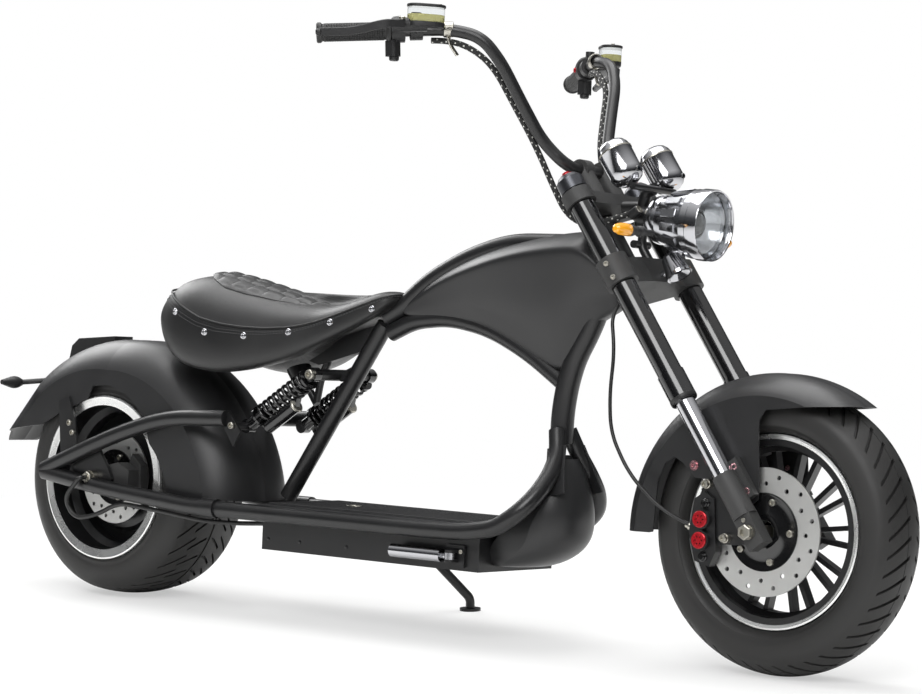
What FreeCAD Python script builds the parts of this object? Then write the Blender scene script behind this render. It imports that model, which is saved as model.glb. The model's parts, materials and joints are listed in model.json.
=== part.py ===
import FreeCAD, Part
import math
import os
from FreeCAD import Placement, Rotation, Vector

# Electric chopper scooter, parked on its side stand. Modelled upright in the bike frame
# (x forward from the rear axle, y left from the mid-plane, z up from the road), in mm.
# Every sub-part is then placed with the lean, and what steers also with the rest turn.

doc = FreeCAD.newDocument("chopper_scooter")
sheet = doc.addObject("Spreadsheet::Sheet", "dims")

# alias, value in mm or degrees, what it is
DIMENSIONS = [
    ("lean", 3.9, "lean to the left on the stand, degrees"),
    ("steer_rest", 1.9, "bars turned to the left at rest, degrees"),
    ("wheelbase", 1585, "rear axle to front axle"),
    ("rake", 35.3, "fork legs from upright, degrees"),
    ("fork_offset", 40, "fork legs ahead of the steering axis"),
    ("fit", 0.3, "gap between pieces that only touch"),
    ("shaft_gap", 0.05, "radial clearance of a turning fit"),
    ("rim_seat_rad", 152.4, "bead seat of a 12 inch rim"),
    ("rim_lip_rad", 167, "outer edge of the rim flange"),
    ("rim_wall", 5, "thickness of the rim well"),
    ("front_tyre_rad", 248, "front tyre, outside radius"),
    ("front_tyre_width", 128, "front tyre, section width"),
    ("front_crown_rad", 72, "front tread arc"),
    ("front_rim_width", 88, "front rim over its flanges"),
    ("rear_tyre_rad", 240, "rear tyre, outside radius"),
    ("rear_tyre_width", 198, "rear tyre, section width"),
    ("rear_crown_rad", 300, "rear tread arc"),
    ("rear_rim_width", 202, "rear rim over its flanges"),
    ("front_hub_rad", 38, "front hub barrel"),
    ("front_hub_width", 84, "front hub over its faces"),
    ("front_axle_rad", 7.5, "front axle"),
    ("rear_axle_rad", 8, "rear axle"),
    ("motor_rad", 112, "hub motor casing"),
    ("motor_width", 124, "hub motor over its covers"),
    ("disc_rad", 110, "front brake disc"),
    ("rear_disc_rad", 95, "rear brake disc"),
    ("disc_thick", 4, "brake disc"),
    ("spoke_width", 8.5, "cast spoke"),
    ("leg_spread", 106, "fork leg from the mid-plane"),
    ("leg_rad", 22.5, "outer fork tube"),
    ("slider_rad", 17.5, "chrome fork stanchion"),
    ("leg_cap_s", 736, "cap top, up the leg from the axle"),
    ("leg_top_s", 706, "outer tube top"),
    ("leg_low_s", 274, "outer tube lower end"),
    ("lug_top_s", 112, "axle lug top"),
    ("clamp_low_s", 505, "lower clamp, under face"),
    ("clamp_low_high", 52, "lower clamp height"),
    ("clamp_top_s", 676, "upper clamp, under face"),
    ("clamp_top_high", 26, "upper clamp height"),
    ("stem_rad", 15, "steering stem"),
    ("head_rad", 27, "head tube outside"),
    ("bar_rad", 11.1, "handlebar tube"),
    ("bar_width", 780, "handlebar over its grips"),
    ("grip_rad", 16.5, "handlebar grip"),
    ("grip_length", 125, "handlebar grip"),
    ("mirror_hole_rad", 4, "tapped hole for a mirror stem"),
    ("cup_length", 70, "brake fluid reservoir, along the bar"),
    ("cup_width", 42, "brake fluid reservoir"),
    ("spine_dia", 38, "backbone tube"),
    ("tank_tube_dia", 34, "lower tank tube"),
    ("down_dia", 43, "down tube"),
    ("seat_tube_dia", 34, "seat tube"),
    ("rail_dia", 32, "deck rail"),
    ("rail_spread", 135, "deck rail from the mid-plane"),
    ("rail_high", 203, "deck rail centre above the road"),
    ("deck_thick", 14, "footboard"),
    ("box_width", 220, "battery box"),
    ("box_length", 540, "battery box"),
    ("box_rear", 462, "battery box rear end"),
    ("box_low", 131, "battery box floor above the road"),
    ("box_wall", 2.5, "battery box sheet"),
    ("swing_dia", 32, "swingarm tube"),
    ("swing_spread", 140, "swingarm tube from the mid-plane"),
    ("arm_plate", 8, "dropout plate"),
    ("fender_wall", 2.5, "fender sheet"),
    ("rear_fender_rad", 322, "rear fender arc"),
    ("rear_fender_width", 232, "rear fender over its sides"),
    ("front_fender_rad", 285, "front fender arc"),
    ("front_fender_width", 164, "front fender over its sides"),
    ("seat_width", 290, "saddle"),
    ("shock_spread", 80, "shock from the mid-plane"),
    ("spring_rad", 22, "shock spring outside"),
    ("spring_wire", 7.4, "shock spring wire"),
    ("peg_rad", 12.5, "foot peg"),
    ("peg_length", 138, "foot peg from its pivot"),
    ("stand_rad", 9, "side stand leg"),
    ("stand_foot_rad", 21, "side stand foot"),
    ("lamp_rad", 62, "headlight lens"),
    ("lamp_length", 122, "headlight"),
    ("pod_rad", 31, "gauge cup"),
    ("pod_length", 86, "gauge cup"),
    ("hose_dia", 6.5, "brake hose"),
    ("sleeve_dia", 11, "braided cable sleeve"),
]
for row, (alias, value, note) in enumerate(DIMENSIONS, start=1):
    sheet.set(f"A{row}", note)
    sheet.set(f"B{row}", str(value))
    sheet.setAlias(f"B{row}", alias)
doc.recompute()


def dim(alias):
    return float(sheet.get(alias))


# Stance: where the bike and its steering stand in the row frame
ACROSS = Vector(0, 1, 0)
lean = math.radians(dim("lean"))
rake = math.radians(dim("rake"))
leg_up = Vector(-math.sin(rake), 0, math.cos(rake))
leg_front = Vector(math.cos(rake), 0, math.sin(rake))
fork_turn = Rotation(leg_front, ACROSS, leg_up, "ZXY")
road_up = Vector(0, -math.sin(lean), math.cos(lean))
steer_turn = Rotation(leg_up, dim("steer_rest"))


def axle_height(tyre_rad, crown_rad, axle_dir, drop):
    # the tyre's crown circle touches the road when it leans
    ring = tyre_rad - crown_rad
    reach = ring * math.sqrt(1 - axle_dir.dot(road_up) ** 2) + crown_rad
    return (reach - drop) / math.cos(lean)


rear_axle = Vector(0, 0, axle_height(dim("rear_tyre_rad"), dim("rear_crown_rad"), ACROSS, 0))
contact_y = (rear_axle.z + dim("rear_crown_rad") - dim("rear_tyre_rad")) * math.sin(lean)
leaned = Placement(Vector(0, -contact_y, 0), Rotation(Vector(1, 0, 0), -dim("lean")))
axle_offset = leg_front * dim("fork_offset")
axle_shift = steer_turn.multVec(axle_offset) - axle_offset
front_axle = Vector(dim("wheelbase"), 0, axle_height(
    dim("front_tyre_rad"), dim("front_crown_rad"), steer_turn.multVec(ACROSS), axle_shift.dot(road_up)))
steered = leaned.multiply(Placement(Vector(), steer_turn, front_axle - axle_offset))


def fork(up, across=0.0, ahead=0.0):
    # a point measured up the leg from the axle, to the left and ahead of the legs
    return front_axle + leg_up * up + leg_front * ahead + ACROSS * across


def head(up):
    # a point on the steering axis
    return fork(up, 0, -dim("fork_offset"))


# Typed points are read at the drawn sizes and move with these when a size changes
DRAWN_WHEELBASE, DRAWN_BAR_WIDTH = 1585, 780
STRETCH_REAR, STRETCH_FRONT = 420, 1000  # only the frame between these grows with the wheelbase
BAR_MIDDLE, BAR_BEND = 74, 228  # only the bar between these grows with its width


def ramp(value, low, high):
    return min(max((value - low) / (high - low), 0), 1)


def along(x):
    # a frame point's place from the rear axle
    return x + ramp(x, STRETCH_REAR, STRETCH_FRONT) * (dim("wheelbase") - DRAWN_WHEELBASE)


def at(x, y, z):
    return Vector(along(x), y, z)


def stretched(points):
    # outline points whose first value is a place along the frame
    return [(along(p[0]), p[1], *[(along(bulge[0]), bulge[1]) for bulge in p[2:]]) for p in points]


def spaced(y):
    # a bar point's place across
    growth = (dim("bar_width") - DRAWN_BAR_WIDTH) / 2
    return y + math.copysign(ramp(abs(y), BAR_MIDDLE, BAR_BEND) * growth, y)


# Small builders that the sub-parts share

def feature(name, shape):
    piece = doc.addObject("Part::Feature", name)
    piece.Shape = shape
    return piece


def cylinder(name, start, end, radius_expr):
    rod = doc.addObject("Part::Cylinder", name)
    rod.setExpression("Radius", radius_expr)
    rod.Height = (end - start).Length
    rod.Placement = Placement(start, Rotation(Vector(0, 0, 1), end - start))
    return rod


def box(name, low, high):
    block = doc.addObject("Part::Box", name)
    block.Length, block.Width, block.Height = high.x - low.x, high.y - low.y, high.z - low.z
    block.Placement.Base = low
    return block


def fuse(name, pieces):
    joined = doc.addObject("Part::MultiFuse", name)
    joined.Shapes = pieces
    return joined


def cut(name, base, tool):
    rest = doc.addObject("Part::Cut", name)
    rest.Base, rest.Tool = base, tool
    return rest


def trimmed(name, base, tools):
    # one cut after the other
    for tool in tools:
        base = cut(f"{name}_less_{tool.Name}", base, tool)
    return base


def common(name, pieces):
    core = doc.addObject("Part::MultiCommon", name)
    core.Shapes = pieces
    return core


def mirrored(piece):
    twin = doc.addObject("Part::Mirroring", piece.Name + "_left")
    twin.Source = piece
    twin.Normal = ACROSS
    return twin


def rounded_path(points, radius=None):
    # straight runs joined by tangent arcs, as large as the runs allow unless a radius is given
    edges, start = [], points[0]
    for before, corner, after in zip(points, points[1:], points[2:]):
        arrive, leave = (corner - before), (after - corner)
        turn = arrive.getAngle(leave)
        arc_rad = radius or 0.45 * min(arrive.Length, leave.Length) / math.tan(turn / 2)
        cut_back = arc_rad * math.tan(turn / 2)
        arrive.normalize()
        leave.normalize()
        first, last = corner - arrive * cut_back, corner + leave * cut_back
        middle = corner + (leave - arrive).normalize() * (arc_rad / math.cos(turn / 2) - arc_rad)
        if first.distanceToPoint(start) > 0.01:
            edges.append(Part.LineSegment(start, first).toShape())
        edges.append(Part.Arc(first, middle, last).toShape())
        start = last
    edges.append(Part.LineSegment(start, points[-1]).toShape())
    return Part.Wire(edges)


def tube(name, points, radius_expr, radius=None):
    # a round bar swept along its own path; the section's radius is bound to the sheet
    route = rounded_path(points, radius) if len(points) > 2 else Part.Wire(
        [Part.LineSegment(points[0], points[1]).toShape()])
    path = feature(name + "_path", route)
    section = doc.addObject("Part::Circle", name + "_section")
    section.setExpression("Radius", radius_expr)
    section.Placement = Placement(points[0], Rotation(Vector(0, 0, 1), points[1] - points[0]))
    sweep = doc.addObject("Part::Sweep", name)
    sweep.Sections = [section]
    sweep.Spine = (path, [f"Edge{i + 1}" for i in range(len(route.Edges))])
    sweep.Solid = True
    return sweep


def outline(points):
    # a closed wire; a point with a third value is the far end of an arc through that bulge
    edges = []
    for here, there in zip(points, points[1:] + points[:1]):
        if len(there) > 2 and there[2] is not None:
            edges.append(Part.Arc(Vector(*here[:2], 0), Vector(*there[2], 0), Vector(*there[:2], 0)).toShape())
        else:
            edges.append(Part.LineSegment(Vector(*here[:2], 0), Vector(*there[:2], 0)).toShape())
    return Part.Wire(edges)


SIDE = Placement(Vector(), Rotation(Vector(1, 0, 0), 90))  # the normal points to the right, -y
PLAN = Placement()
FRONT = Placement(Vector(), Rotation(Vector(0, 1, 0), Vector(0, 0, 1), Vector(1, 0, 0), "ZXY"))


def slab(name, points, view, near, far):
    # an outline drawn in one view and made solid from near to far along that view's normal
    face = Part.Face(outline(points))
    face.Placement = view
    normal = view.Rotation.multVec(Vector(0, 0, 1))
    face.translate(normal * near)
    flat = feature(name + "_face", face)
    solid = doc.addObject("Part::Extrusion", name)
    solid.Base, solid.Dir, solid.Solid = flat, normal, False
    solid.DirMode = "Custom"
    solid.LengthFwd = far - near
    return solid


def turned(name, points, centre, direction=ACROSS):
    # a half section, (along the axis, out from it), revolved about an axis through centre
    body = doc.addObject("PartDesign::Body", name)
    sketch = body.newObject("Sketcher::SketchObject", name + "_section")
    plane = [f for f in body.Origin.OriginFeatures if f.Role == "XZ_Plane"][0]
    sketch.AttachmentSupport = [(plane, "")]
    sketch.MapMode = "FlatFace"
    wire = outline(points)
    sketch.addGeometry([e.Curve.trim(*e.ParameterRange) if hasattr(e.Curve, "Radius") else
                        Part.LineSegment(e.Vertexes[0].Point, e.Vertexes[1].Point)
                        for e in wire.Edges], False)
    spin = body.newObject("PartDesign::Revolution", name + "_turn")
    spin.Profile = sketch
    spin.ReferenceAxis = (sketch, ["H_Axis"])
    spin.Angle = 360
    body.Tip = spin
    body.Placement = Placement(centre, Rotation(Vector(1, 0, 0), direction))
    return body


nodes = []


def node(label, stance, *pieces):
    # one named sub-part: its pieces together, placed as the bike stands
    part = doc.addObject("Part::Compound", "node_" + label)
    part.Links = list(pieces)
    part.Label = label
    part.Placement = stance
    nodes.append(part)
    return part


def pair(label, stance, right):
    return node(label, stance, right, mirrored(right))


# Wheels

def tyre_section(width, tyre_rad, crown_rad, rim_width, tread_half):
    # bead seat, sidewall, shoulder and tread, as one closed half section
    seat = dim("rim_seat_rad") + dim("fit")
    bead = rim_width / 2 - dim("rim_wall") - dim("fit")
    drop = crown_rad - math.sqrt(crown_rad ** 2 - tread_half ** 2)
    shoulder = (tread_half, tyre_rad - drop)
    bulge = (width / 2, seat + 0.42 * (tyre_rad - seat))
    lip = (bead, dim("rim_lip_rad") + 1)
    side = ((shoulder[0] + bulge[0]) / 2 + 0.13 * (bulge[0] - shoulder[0] + 30) / 2, (shoulder[1] + bulge[1]) / 2 + 4)
    lower = (bulge[0] - 1.5, (bulge[1] + lip[1]) / 2)

    def flip(point):
        return (-point[0], point[1])

    return [
        (bead, seat), (lip[0], lip[1]),
        (bulge[0], bulge[1], lower),
        (shoulder[0], shoulder[1], side),
        (-shoulder[0], shoulder[1], (0, tyre_rad)),
        (-bulge[0], bulge[1], flip(side)),
        (-lip[0], lip[1], flip(lower)),
        (-bead, seat),
    ]


def rim_section(rim_width, well_drop):
    # flanges, bead seats and the well between them
    half, wall = rim_width / 2, dim("rim_wall")
    seat, lip = dim("rim_seat_rad"), dim("rim_lip_rad")
    well = half * 0.55
    return [
        (-half, seat - wall), (-well, seat - wall), (-well + well_drop, seat - wall - well_drop),
        (well - well_drop, seat - wall - well_drop), (well, seat - wall), (half, seat - wall),
        (half, lip), (half - wall, lip), (half - wall, seat), (well - wall, seat),
        (well - wall - well_drop, seat - well_drop), (-well + wall + well_drop, seat - well_drop),
        (-well + wall, seat), (-half + wall, seat), (-half + wall, lip), (-half, lip),
    ]


front_tyre = turned("front_tyre_ring", tyre_section(
    dim("front_tyre_width"), dim("front_tyre_rad"), dim("front_crown_rad"), dim("front_rim_width"), 54), front_axle)
rear_tyre = turned("rear_tyre_ring", tyre_section(
    dim("rear_tyre_width"), dim("rear_tyre_rad"), dim("rear_crown_rad"), dim("rear_rim_width"), 78), rear_axle)
node("front_tyre", steered, front_tyre)
node("rear_tyre", leaned, rear_tyre)

# Front rim: barrel, hub and twenty thin cast spokes in ten pairs
front_barrel = turned("front_barrel", rim_section(dim("front_rim_width"), 9), front_axle)
hub_half = dim("front_hub_width") / 2
bore = dim("front_axle_rad") + dim("shaft_gap")
front_hub = turned("front_hub", [
    (-hub_half, bore), (hub_half, bore), (hub_half, 27), (hub_half - 14, 27), (hub_half - 24, dim("front_hub_rad")),
    (-hub_half + 24, dim("front_hub_rad")), (-hub_half + 14, 27), (-hub_half, 27)], front_axle)
SPOKE_PAIRS = 10
SPOKE_SPLAY = 7
spokes = []
spoke_out = dim("rim_seat_rad") - dim("rim_wall") - 4
for pair_no in range(SPOKE_PAIRS):
    for splay in (-SPOKE_SPLAY, SPOKE_SPLAY):
        spoke = doc.addObject("Part::Box", f"spoke_{pair_no}_{'b' if splay > 0 else 'a'}")
        spoke.Length = spoke_out - dim("front_hub_rad") + 6
        spoke.setExpression("Width", "dims.spoke_width * 2.4")
        spoke.setExpression("Height", "dims.spoke_width")
        spin = Rotation(ACROSS, 360 / SPOKE_PAIRS * pair_no + splay)
        corner = Vector(dim("front_hub_rad") - 6, -dim("spoke_width") * 1.2, -dim("spoke_width") / 2)
        spoke.Placement = Placement(front_axle + spin.multVec(corner), spin)
        spokes.append(spoke)
node("front_rim", steered, fuse("front_rim_cast", [front_barrel, front_hub] + spokes))

# Rear rim: wide barrel on the hub motor
rear_barrel = turned("rear_barrel", rim_section(dim("rear_rim_width"), 12), rear_axle)
motor_half = dim("motor_width") / 2
motor_bore = dim("rear_axle_rad") + dim("shaft_gap")
barrel_in = dim("rim_seat_rad") - dim("rim_wall") - 6
motor = turned("hub_motor", [
    (-motor_half, motor_bore), (motor_half, motor_bore), (motor_half, 46), (motor_half - 12, 58),
    (motor_half - 22, dim("motor_rad") - 8), (motor_half - 30, dim("motor_rad")), (26, dim("motor_rad")),
    (16, barrel_in), (-16, barrel_in), (-26, dim("motor_rad")), (-motor_half + 30, dim("motor_rad")),
    (-motor_half + 22, dim("motor_rad") - 8), (-motor_half + 12, 58), (-motor_half, 46)], rear_axle)
node("rear_rim", leaned, fuse("rear_rim_cast", [rear_barrel, motor]))


def brake_disc(name, centre, side, outer, carrier_in, hub_face):
    # drilled ring with a carrier that reaches the hub face
    half = dim("disc_thick") / 2
    ring = turned(name + "_ring", [(-half, outer * 0.63), (half, outer * 0.63), (half, outer), (-half, outer)],
                  centre + ACROSS * side)
    reach = side - hub_face
    carrier = turned(name + "_carrier", [
        (-half, carrier_in), (max(half, -reach) if side < 0 else half, carrier_in),
        (max(half, -reach) if side < 0 else half, carrier_in + 14), (half, carrier_in + 16),
        (half, outer * 0.63), (-half, outer * 0.63)], centre + ACROSS * side)
    holes = []
    for ring_rad, count, phase in ((outer * 0.75, 12, 0), (outer * 0.88, 12, 15)):
        for turn_no in range(count):
            angle = Rotation(ACROSS, 360 / count * turn_no + phase)
            start = centre + ACROSS * (side - half - 1) + angle.multVec(Vector(ring_rad, 0, 0))
            drill = doc.addObject("Part::Cylinder", f"{name}_hole_{int(ring_rad)}_{turn_no}")
            drill.Radius = 4
            drill.setExpression("Height", "dims.disc_thick + 2")
            drill.Placement = Placement(start, Rotation(Vector(0, 0, 1), ACROSS))
            holes.append(drill)
    return cut(name + "_drilled", fuse(name + "_blank", [ring, carrier]), fuse(name + "_holes", holes))


front_disc_y = -(dim("leg_spread") - dim("leg_rad") - 12)
node("front_disc", steered, brake_disc("front_disc", front_axle, front_disc_y, dim("disc_rad"), 20,
                                       -hub_half - dim("fit")))
rear_disc_y = -(motor_half + dim("disc_thick") / 2 + dim("fit"))
node("rear_disc", leaned, brake_disc("rear_disc", rear_axle, rear_disc_y, dim("rear_disc_rad"), 26,
                                     -motor_half - dim("fit")))

# Fork: clamps with the stem, legs, sliders, axle lugs and axle
spread = dim("leg_spread")


def leg_ring(name, low, high, radius_expr, across=-1, ahead=0.0):
    return cylinder(name, fork(low, across * spread, ahead), fork(high, across * spread, ahead), radius_expr)


def fork_box(name, low, high, across):
    # a block measured ahead of the leg, to the left of across and up the leg
    block = box(name, low, high)
    block.Placement = Placement(fork(0, across), fork_turn).multiply(Placement(low, Rotation()))
    return block


def clamp(name, low, high, wall, waist):
    # two eyes round the legs joined by a waisted bridge, bored for the legs
    near, far = -dim("fork_offset") - dim("stem_rad") - 1, 0.62 * dim("leg_rad")
    eye = dim("leg_rad") + wall
    plan = [
        (near, -20), (-eye * 0.5, -spread + eye * 0.6), (-eye * 0.5, -spread), (eye * 0.55, -spread),
        (far, -spread + eye), (waist, -34), (waist, 34), (far, spread - eye), (eye * 0.55, spread),
        (-eye * 0.5, spread), (-eye * 0.5, spread - eye * 0.6), (near, 20)]
    face = Part.Face(Part.makePolygon([Vector(*p, 0) for p in plan + plan[:1]]))
    face.Placement = Placement(fork(low), fork_turn)
    plate = doc.addObject("Part::Extrusion", name + "_plate")
    plate.Base = feature(name + "_plan", face)
    plate.Dir, plate.DirMode, plate.LengthFwd = leg_up, "Custom", high - low
    eyes = [leg_ring(f"{name}_eye_{i}", low, high, f"dims.leg_rad + {wall}", side)
            for i, side in enumerate((-1, 1))]
    bores = [leg_ring(f"{name}_bore_{i}", low - 1, high + 1, "dims.leg_rad + dims.fit", side)
             for i, side in enumerate((-1, 1))]
    return fuse(name + "_blank", [plate] + eyes), bores


low_s, low_e = dim("clamp_low_s"), dim("clamp_low_s") + dim("clamp_low_high")
top_s, top_e = dim("clamp_top_s"), dim("clamp_top_s") + dim("clamp_top_high")
low_blank, low_bores = clamp("lower_clamp", low_s, low_e, 7, 20)
stem = cylinder("stem", head(low_s), head(top_s - dim("fit")), "dims.stem_rad")
low_bridge = cut("lower_clamp_bored", low_blank, fuse("lower_bores", low_bores))
node("lower_clamp", steered, fuse("lower_clamp_stem", [low_bridge, stem]))
top_blank, top_bores = clamp("upper_clamp", top_s, top_e, 6, 14)
stem_nut = cylinder("stem_nut", head(top_e - 1), head(top_e + 12), "dims.stem_rad + 3")
top_bridge = fuse("upper_clamp_nut", [cut("upper_clamp_bored", top_blank, fuse("upper_bores", top_bores)), stem_nut])

leg_tube = leg_ring("leg_tube", dim("leg_low_s"), dim("leg_top_s"), "dims.leg_rad")
leg_collar = leg_ring("leg_collar", dim("leg_low_s") - 6, dim("leg_low_s") + 44, "dims.leg_rad + 2")
pair("fork_tubes", steered, fuse("fork_tube_right", [leg_tube, leg_collar]))
cap_ring = leg_ring("cap_ring", dim("leg_top_s"), dim("leg_cap_s") - 8, "dims.leg_rad + 2.5")
cap_dome = doc.addObject("Part::Cone", "cap_dome")
cap_dome.setExpression("Radius1", "dims.leg_rad + 2.5")
cap_dome.setExpression("Radius2", "dims.leg_rad - 4")
cap_dome.Height = 8
cap_dome.Placement = Placement(fork(dim("leg_cap_s") - 8, -spread), Rotation(Vector(0, 0, 1), leg_up))
pair("fork_caps", steered, fuse("fork_cap_right", [cap_ring, cap_dome]))
pair("fork_sliders", steered, leg_ring("slider", dim("lug_top_s"), dim("leg_low_s") - 6, "dims.slider_rad"))

lug_clamp = leg_ring("lug_clamp", 30, dim("lug_top_s"), "dims.slider_rad + 4")
lug_foot = fork_box("lug_foot", Vector(-17, -15, -28), Vector(17, 15, 40), -spread)
lug_slot = cylinder("lug_bore", fork(0, -spread - 20), fork(0, -spread + 20), "dims.front_axle_rad + dims.fit")
lug_flange = fork_box("lug_flange", Vector(8, 0, 56), Vector(31, spread - 8.3 - dim("front_fender_width") / 2, 130),
                      8 - spread)
slider_clear = leg_ring("slider_clear", dim("lug_top_s"), 140, "dims.slider_rad + dims.fit")
lug_bored = cut("axle_lug_right", fuse("axle_lug_blank", [lug_clamp, lug_foot, lug_flange]),
                fuse("lug_tools", [lug_slot, slider_clear]))
pair("axle_lugs", steered, lug_bored)
axle_half = spread + 22
front_spacer_r = cylinder("front_spacer_r", fork(0, -spread + 15.3), fork(0, -hub_half - 0.3), "dims.front_axle_rad + 4")
front_spacer_l = cylinder("front_spacer_l", fork(0, hub_half + 0.3), fork(0, spread - 15.3), "dims.front_axle_rad + 4")
front_nuts = [cylinder(f"front_nut_{i}", fork(0, side * (spread + 15.3)), fork(0, side * axle_half), "dims.front_axle_rad + 5")
              for i, side in enumerate((-1, 1))]
node("front_axle", steered, fuse("front_axle_rod", [
    cylinder("front_shaft", fork(0, -axle_half), fork(0, axle_half), "dims.front_axle_rad"),
    front_spacer_r, front_spacer_l] + front_nuts))

# Handlebar: one bent tube on two risers
HALF_BAR = [  # x, y, z of the right half from the risers out to the grip
    (1140, -74, 868), (1097, -102, 914), (1074, -142, 982), (1054, -180, 1048), (1026, -206, 1092),
    (972, -228, 1104),
]
grip_dir = Vector(-184, -178, -24).normalize()
bar_shift = fork(0) - Vector(DRAWN_WHEELBASE, 0, 248.16)
half_bar = [Vector(x, spaced(y), z) for x, y, z in HALF_BAR]
bend_end = half_bar[-1]
bar_reach = (dim("bar_width") / 2 + bend_end.y) / -grip_dir.y
bar_end = bend_end + grip_dir * bar_reach + bar_shift
bar_right = [point + bar_shift for point in half_bar] + [bar_end]
bar_left = [Vector(p.x, -p.y, p.z) for p in reversed(bar_right)]
node("handlebar", steered, tube("bar_tube", bar_left + bar_right, "dims.bar_rad"))
bar_centre = Vector(1140, 0, 868) + bar_shift
risers = []
riser_up = (bar_centre - fork(top_e, 0, (bar_centre - fork(top_e)).dot(leg_front))).dot(leg_up)
riser_ahead = (bar_centre - fork(top_e)).dot(leg_front)
for side in (-1, 1):
    foot = fork(top_e - 6, side * 32, riser_ahead)
    post = cylinder(f"riser_post_{side + 1}", foot, foot + leg_up * (riser_up + 6), "dims.bar_rad + 6")
    hood = cylinder(f"riser_hood_{side + 1}", bar_centre + ACROSS * (side * 20), bar_centre + ACROSS * (side * 44),
                    "dims.bar_rad + 9")
    risers += [post, hood]
bar_bore = cylinder("riser_bore", bar_centre - ACROSS * 60, bar_centre + ACROSS * 60, "dims.bar_rad + dims.fit")
node("upper_clamp", steered, cut("risers_bored", fuse("risers_blank", [top_bridge] + risers), bar_bore))


def on_grip(name, start, length, radius_expr):
    # a sleeve on the straight end of the bar, measured in from the bar's tip
    near = bar_end - grip_dir * (start + length)
    return cylinder(name, near, bar_end - grip_dir * start, radius_expr)


bar_core = on_grip("bar_core", -10, 260, "dims.bar_rad + dims.fit")
grip_len = dim("grip_length")
grip = fuse("grip_blank", [on_grip("grip_sleeve", 0, grip_len, "dims.grip_rad"),
                           on_grip("grip_flange", grip_len - 5, 5, "dims.grip_rad + 5"),
                           on_grip("grip_end", -6, 8, "dims.grip_rad + 2")])
pair("grips", steered, cut("grip_right", grip, on_grip("grip_hole", -0.3, 260, "dims.bar_rad + dims.fit")))

# Controls: switch housing, master cylinder with its reservoir, brake lever
lever_front = Vector(-grip_dir.y, grip_dir.x, 0).normalize()
lever_front = lever_front if lever_front.x > 0 else lever_front * -1
housing = on_grip("switch_housing", grip_len + 2, 24, "dims.grip_rad + 5")
clamp_ring = on_grip("lever_clamp", grip_len + 36, 22, "dims.bar_rad + 7")
block_at = bar_end - grip_dir * (grip_len + 62) + lever_front * 37 + Vector(0, 0, 6)
cylinder_body = cylinder("master_body", block_at, block_at + grip_dir * 62, "dims.bar_rad + 2")
cup_half, cup_reach = dim("cup_width") / 2, dim("cup_length") / 2
cup_view = Placement(block_at + grip_dir * 2, Rotation(grip_dir, Vector(), Vector(0, 0, 1), "ZXY"))


def cup_slab(name, grow, low, high):
    # the round-ended plan of a reservoir, its long side with the bar
    half, straight = cup_half + grow, cup_reach - cup_half
    return slab(name, [
        (straight, -half), (straight, half, (straight + half, 0)), (-straight, half),
        (-straight, -half, (-straight - half, 0))], cup_view, low, high)


cup_low = block_at + grip_dir * 16
neck = cylinder("master_neck", cup_low, cup_low + Vector(0, 0, 13), "dims.bar_rad + 4")
neck_arm = cylinder("master_arm", bar_end - grip_dir * (grip_len + 47), bar_end - grip_dir * (grip_len + 47)
                    + lever_front * 37 + Vector(0, 0, 6), "dims.bar_rad - 1")
boss_at = bar_end - grip_dir * (grip_len + 47)
mirror_boss = cylinder("mirror_boss", boss_at, boss_at + Vector(0, 0, 30), "dims.bar_rad - 2.5")
mirror_hole = cylinder("mirror_hole", boss_at + Vector(0, 0, 18), boss_at + Vector(0, 0, 31), "dims.mirror_hole_rad")
bored = [cut(f"{piece.Name}_bored", piece, bar_core) for piece in (housing, clamp_ring, neck_arm, mirror_boss)]
master = cut("master_right", fuse("master_blank", bored[1:] + [cylinder_body, neck]), mirror_hole)
node("bar_controls", steered, bored[0], mirrored(bored[0]), master, mirrored(master))
pair("reservoirs", steered, fuse("reservoir_right", [
    cup_slab("reservoir_cup", -1.5, 13.3, 41), cup_slab("reservoir_lid", 0, 40, 46)]))
lever_root = block_at + grip_dir * 46 + lever_front * 18.4
lever_tip = bar_end + lever_front * 48 + Vector(0, 0, -4)
pair("brake_levers", steered, tube("lever_right", [
    lever_root, lever_root + grip_dir * 30 + lever_front * 14, lever_tip - grip_dir * 40 + lever_front * 6,
    lever_tip + grip_dir * 6], "dims.bar_rad / 2"))

# Gauges, headlight, horn and signals on the front of the clamps
pod_half, pod_rad = dim("pod_length") / 2, dim("pod_rad")
POD_UP, POD_AHEAD, POD_ACROSS = 710, 87, 67
pod = turned("gauge_pod_right", [
    (-pod_half, 0), (-pod_half, pod_rad * 0.45), (-pod_half + 14, pod_rad * 0.9, (-pod_half + 4, pod_rad * 0.74)),
    (-pod_half + 30, pod_rad), (pod_half - 14, pod_rad), (pod_half - 12, pod_rad + 2), (pod_half - 4, pod_rad + 2),
    (pod_half, pod_rad - 3, (pod_half - 1, pod_rad)), (pod_half - 3, pod_rad - 4), (pod_half - 3, 0)],
    fork(POD_UP, -POD_ACROSS, POD_AHEAD), leg_up)
pair("gauge_pods", steered, pod)
lamp_tip = fork(0) + Vector(-190, 0, 525.8)
lamp_dir = Vector(1, 0, -0.09).normalize()
lamp_len, lamp_rad = dim("lamp_length"), dim("lamp_rad")
lamp_shell = turned("lamp_shell", [
    (-lamp_len, 0), (-lamp_len, lamp_rad * 0.42), (-lamp_len * 0.72, lamp_rad * 0.72, (-lamp_len * 0.93, lamp_rad * 0.6)),
    (-lamp_len * 0.2, lamp_rad), (0, lamp_rad), (0, lamp_rad - 3), (-lamp_len * 0.2, lamp_rad - 3),
    (-lamp_len * 0.6, lamp_rad * 0.6), (-lamp_len * 0.6, 0)], lamp_tip, lamp_dir)
node("headlight_shell", steered, lamp_shell)
lens = turned("lamp_lens", [
    (-10, 0), (-10, lamp_rad - 3.4), (0.4, lamp_rad - 3.4), (0.4, lamp_rad - 1),
    (12, lamp_rad * 0.2, (9.5, lamp_rad * 0.6)), (12, 0)], lamp_tip, lamp_dir)
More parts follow.
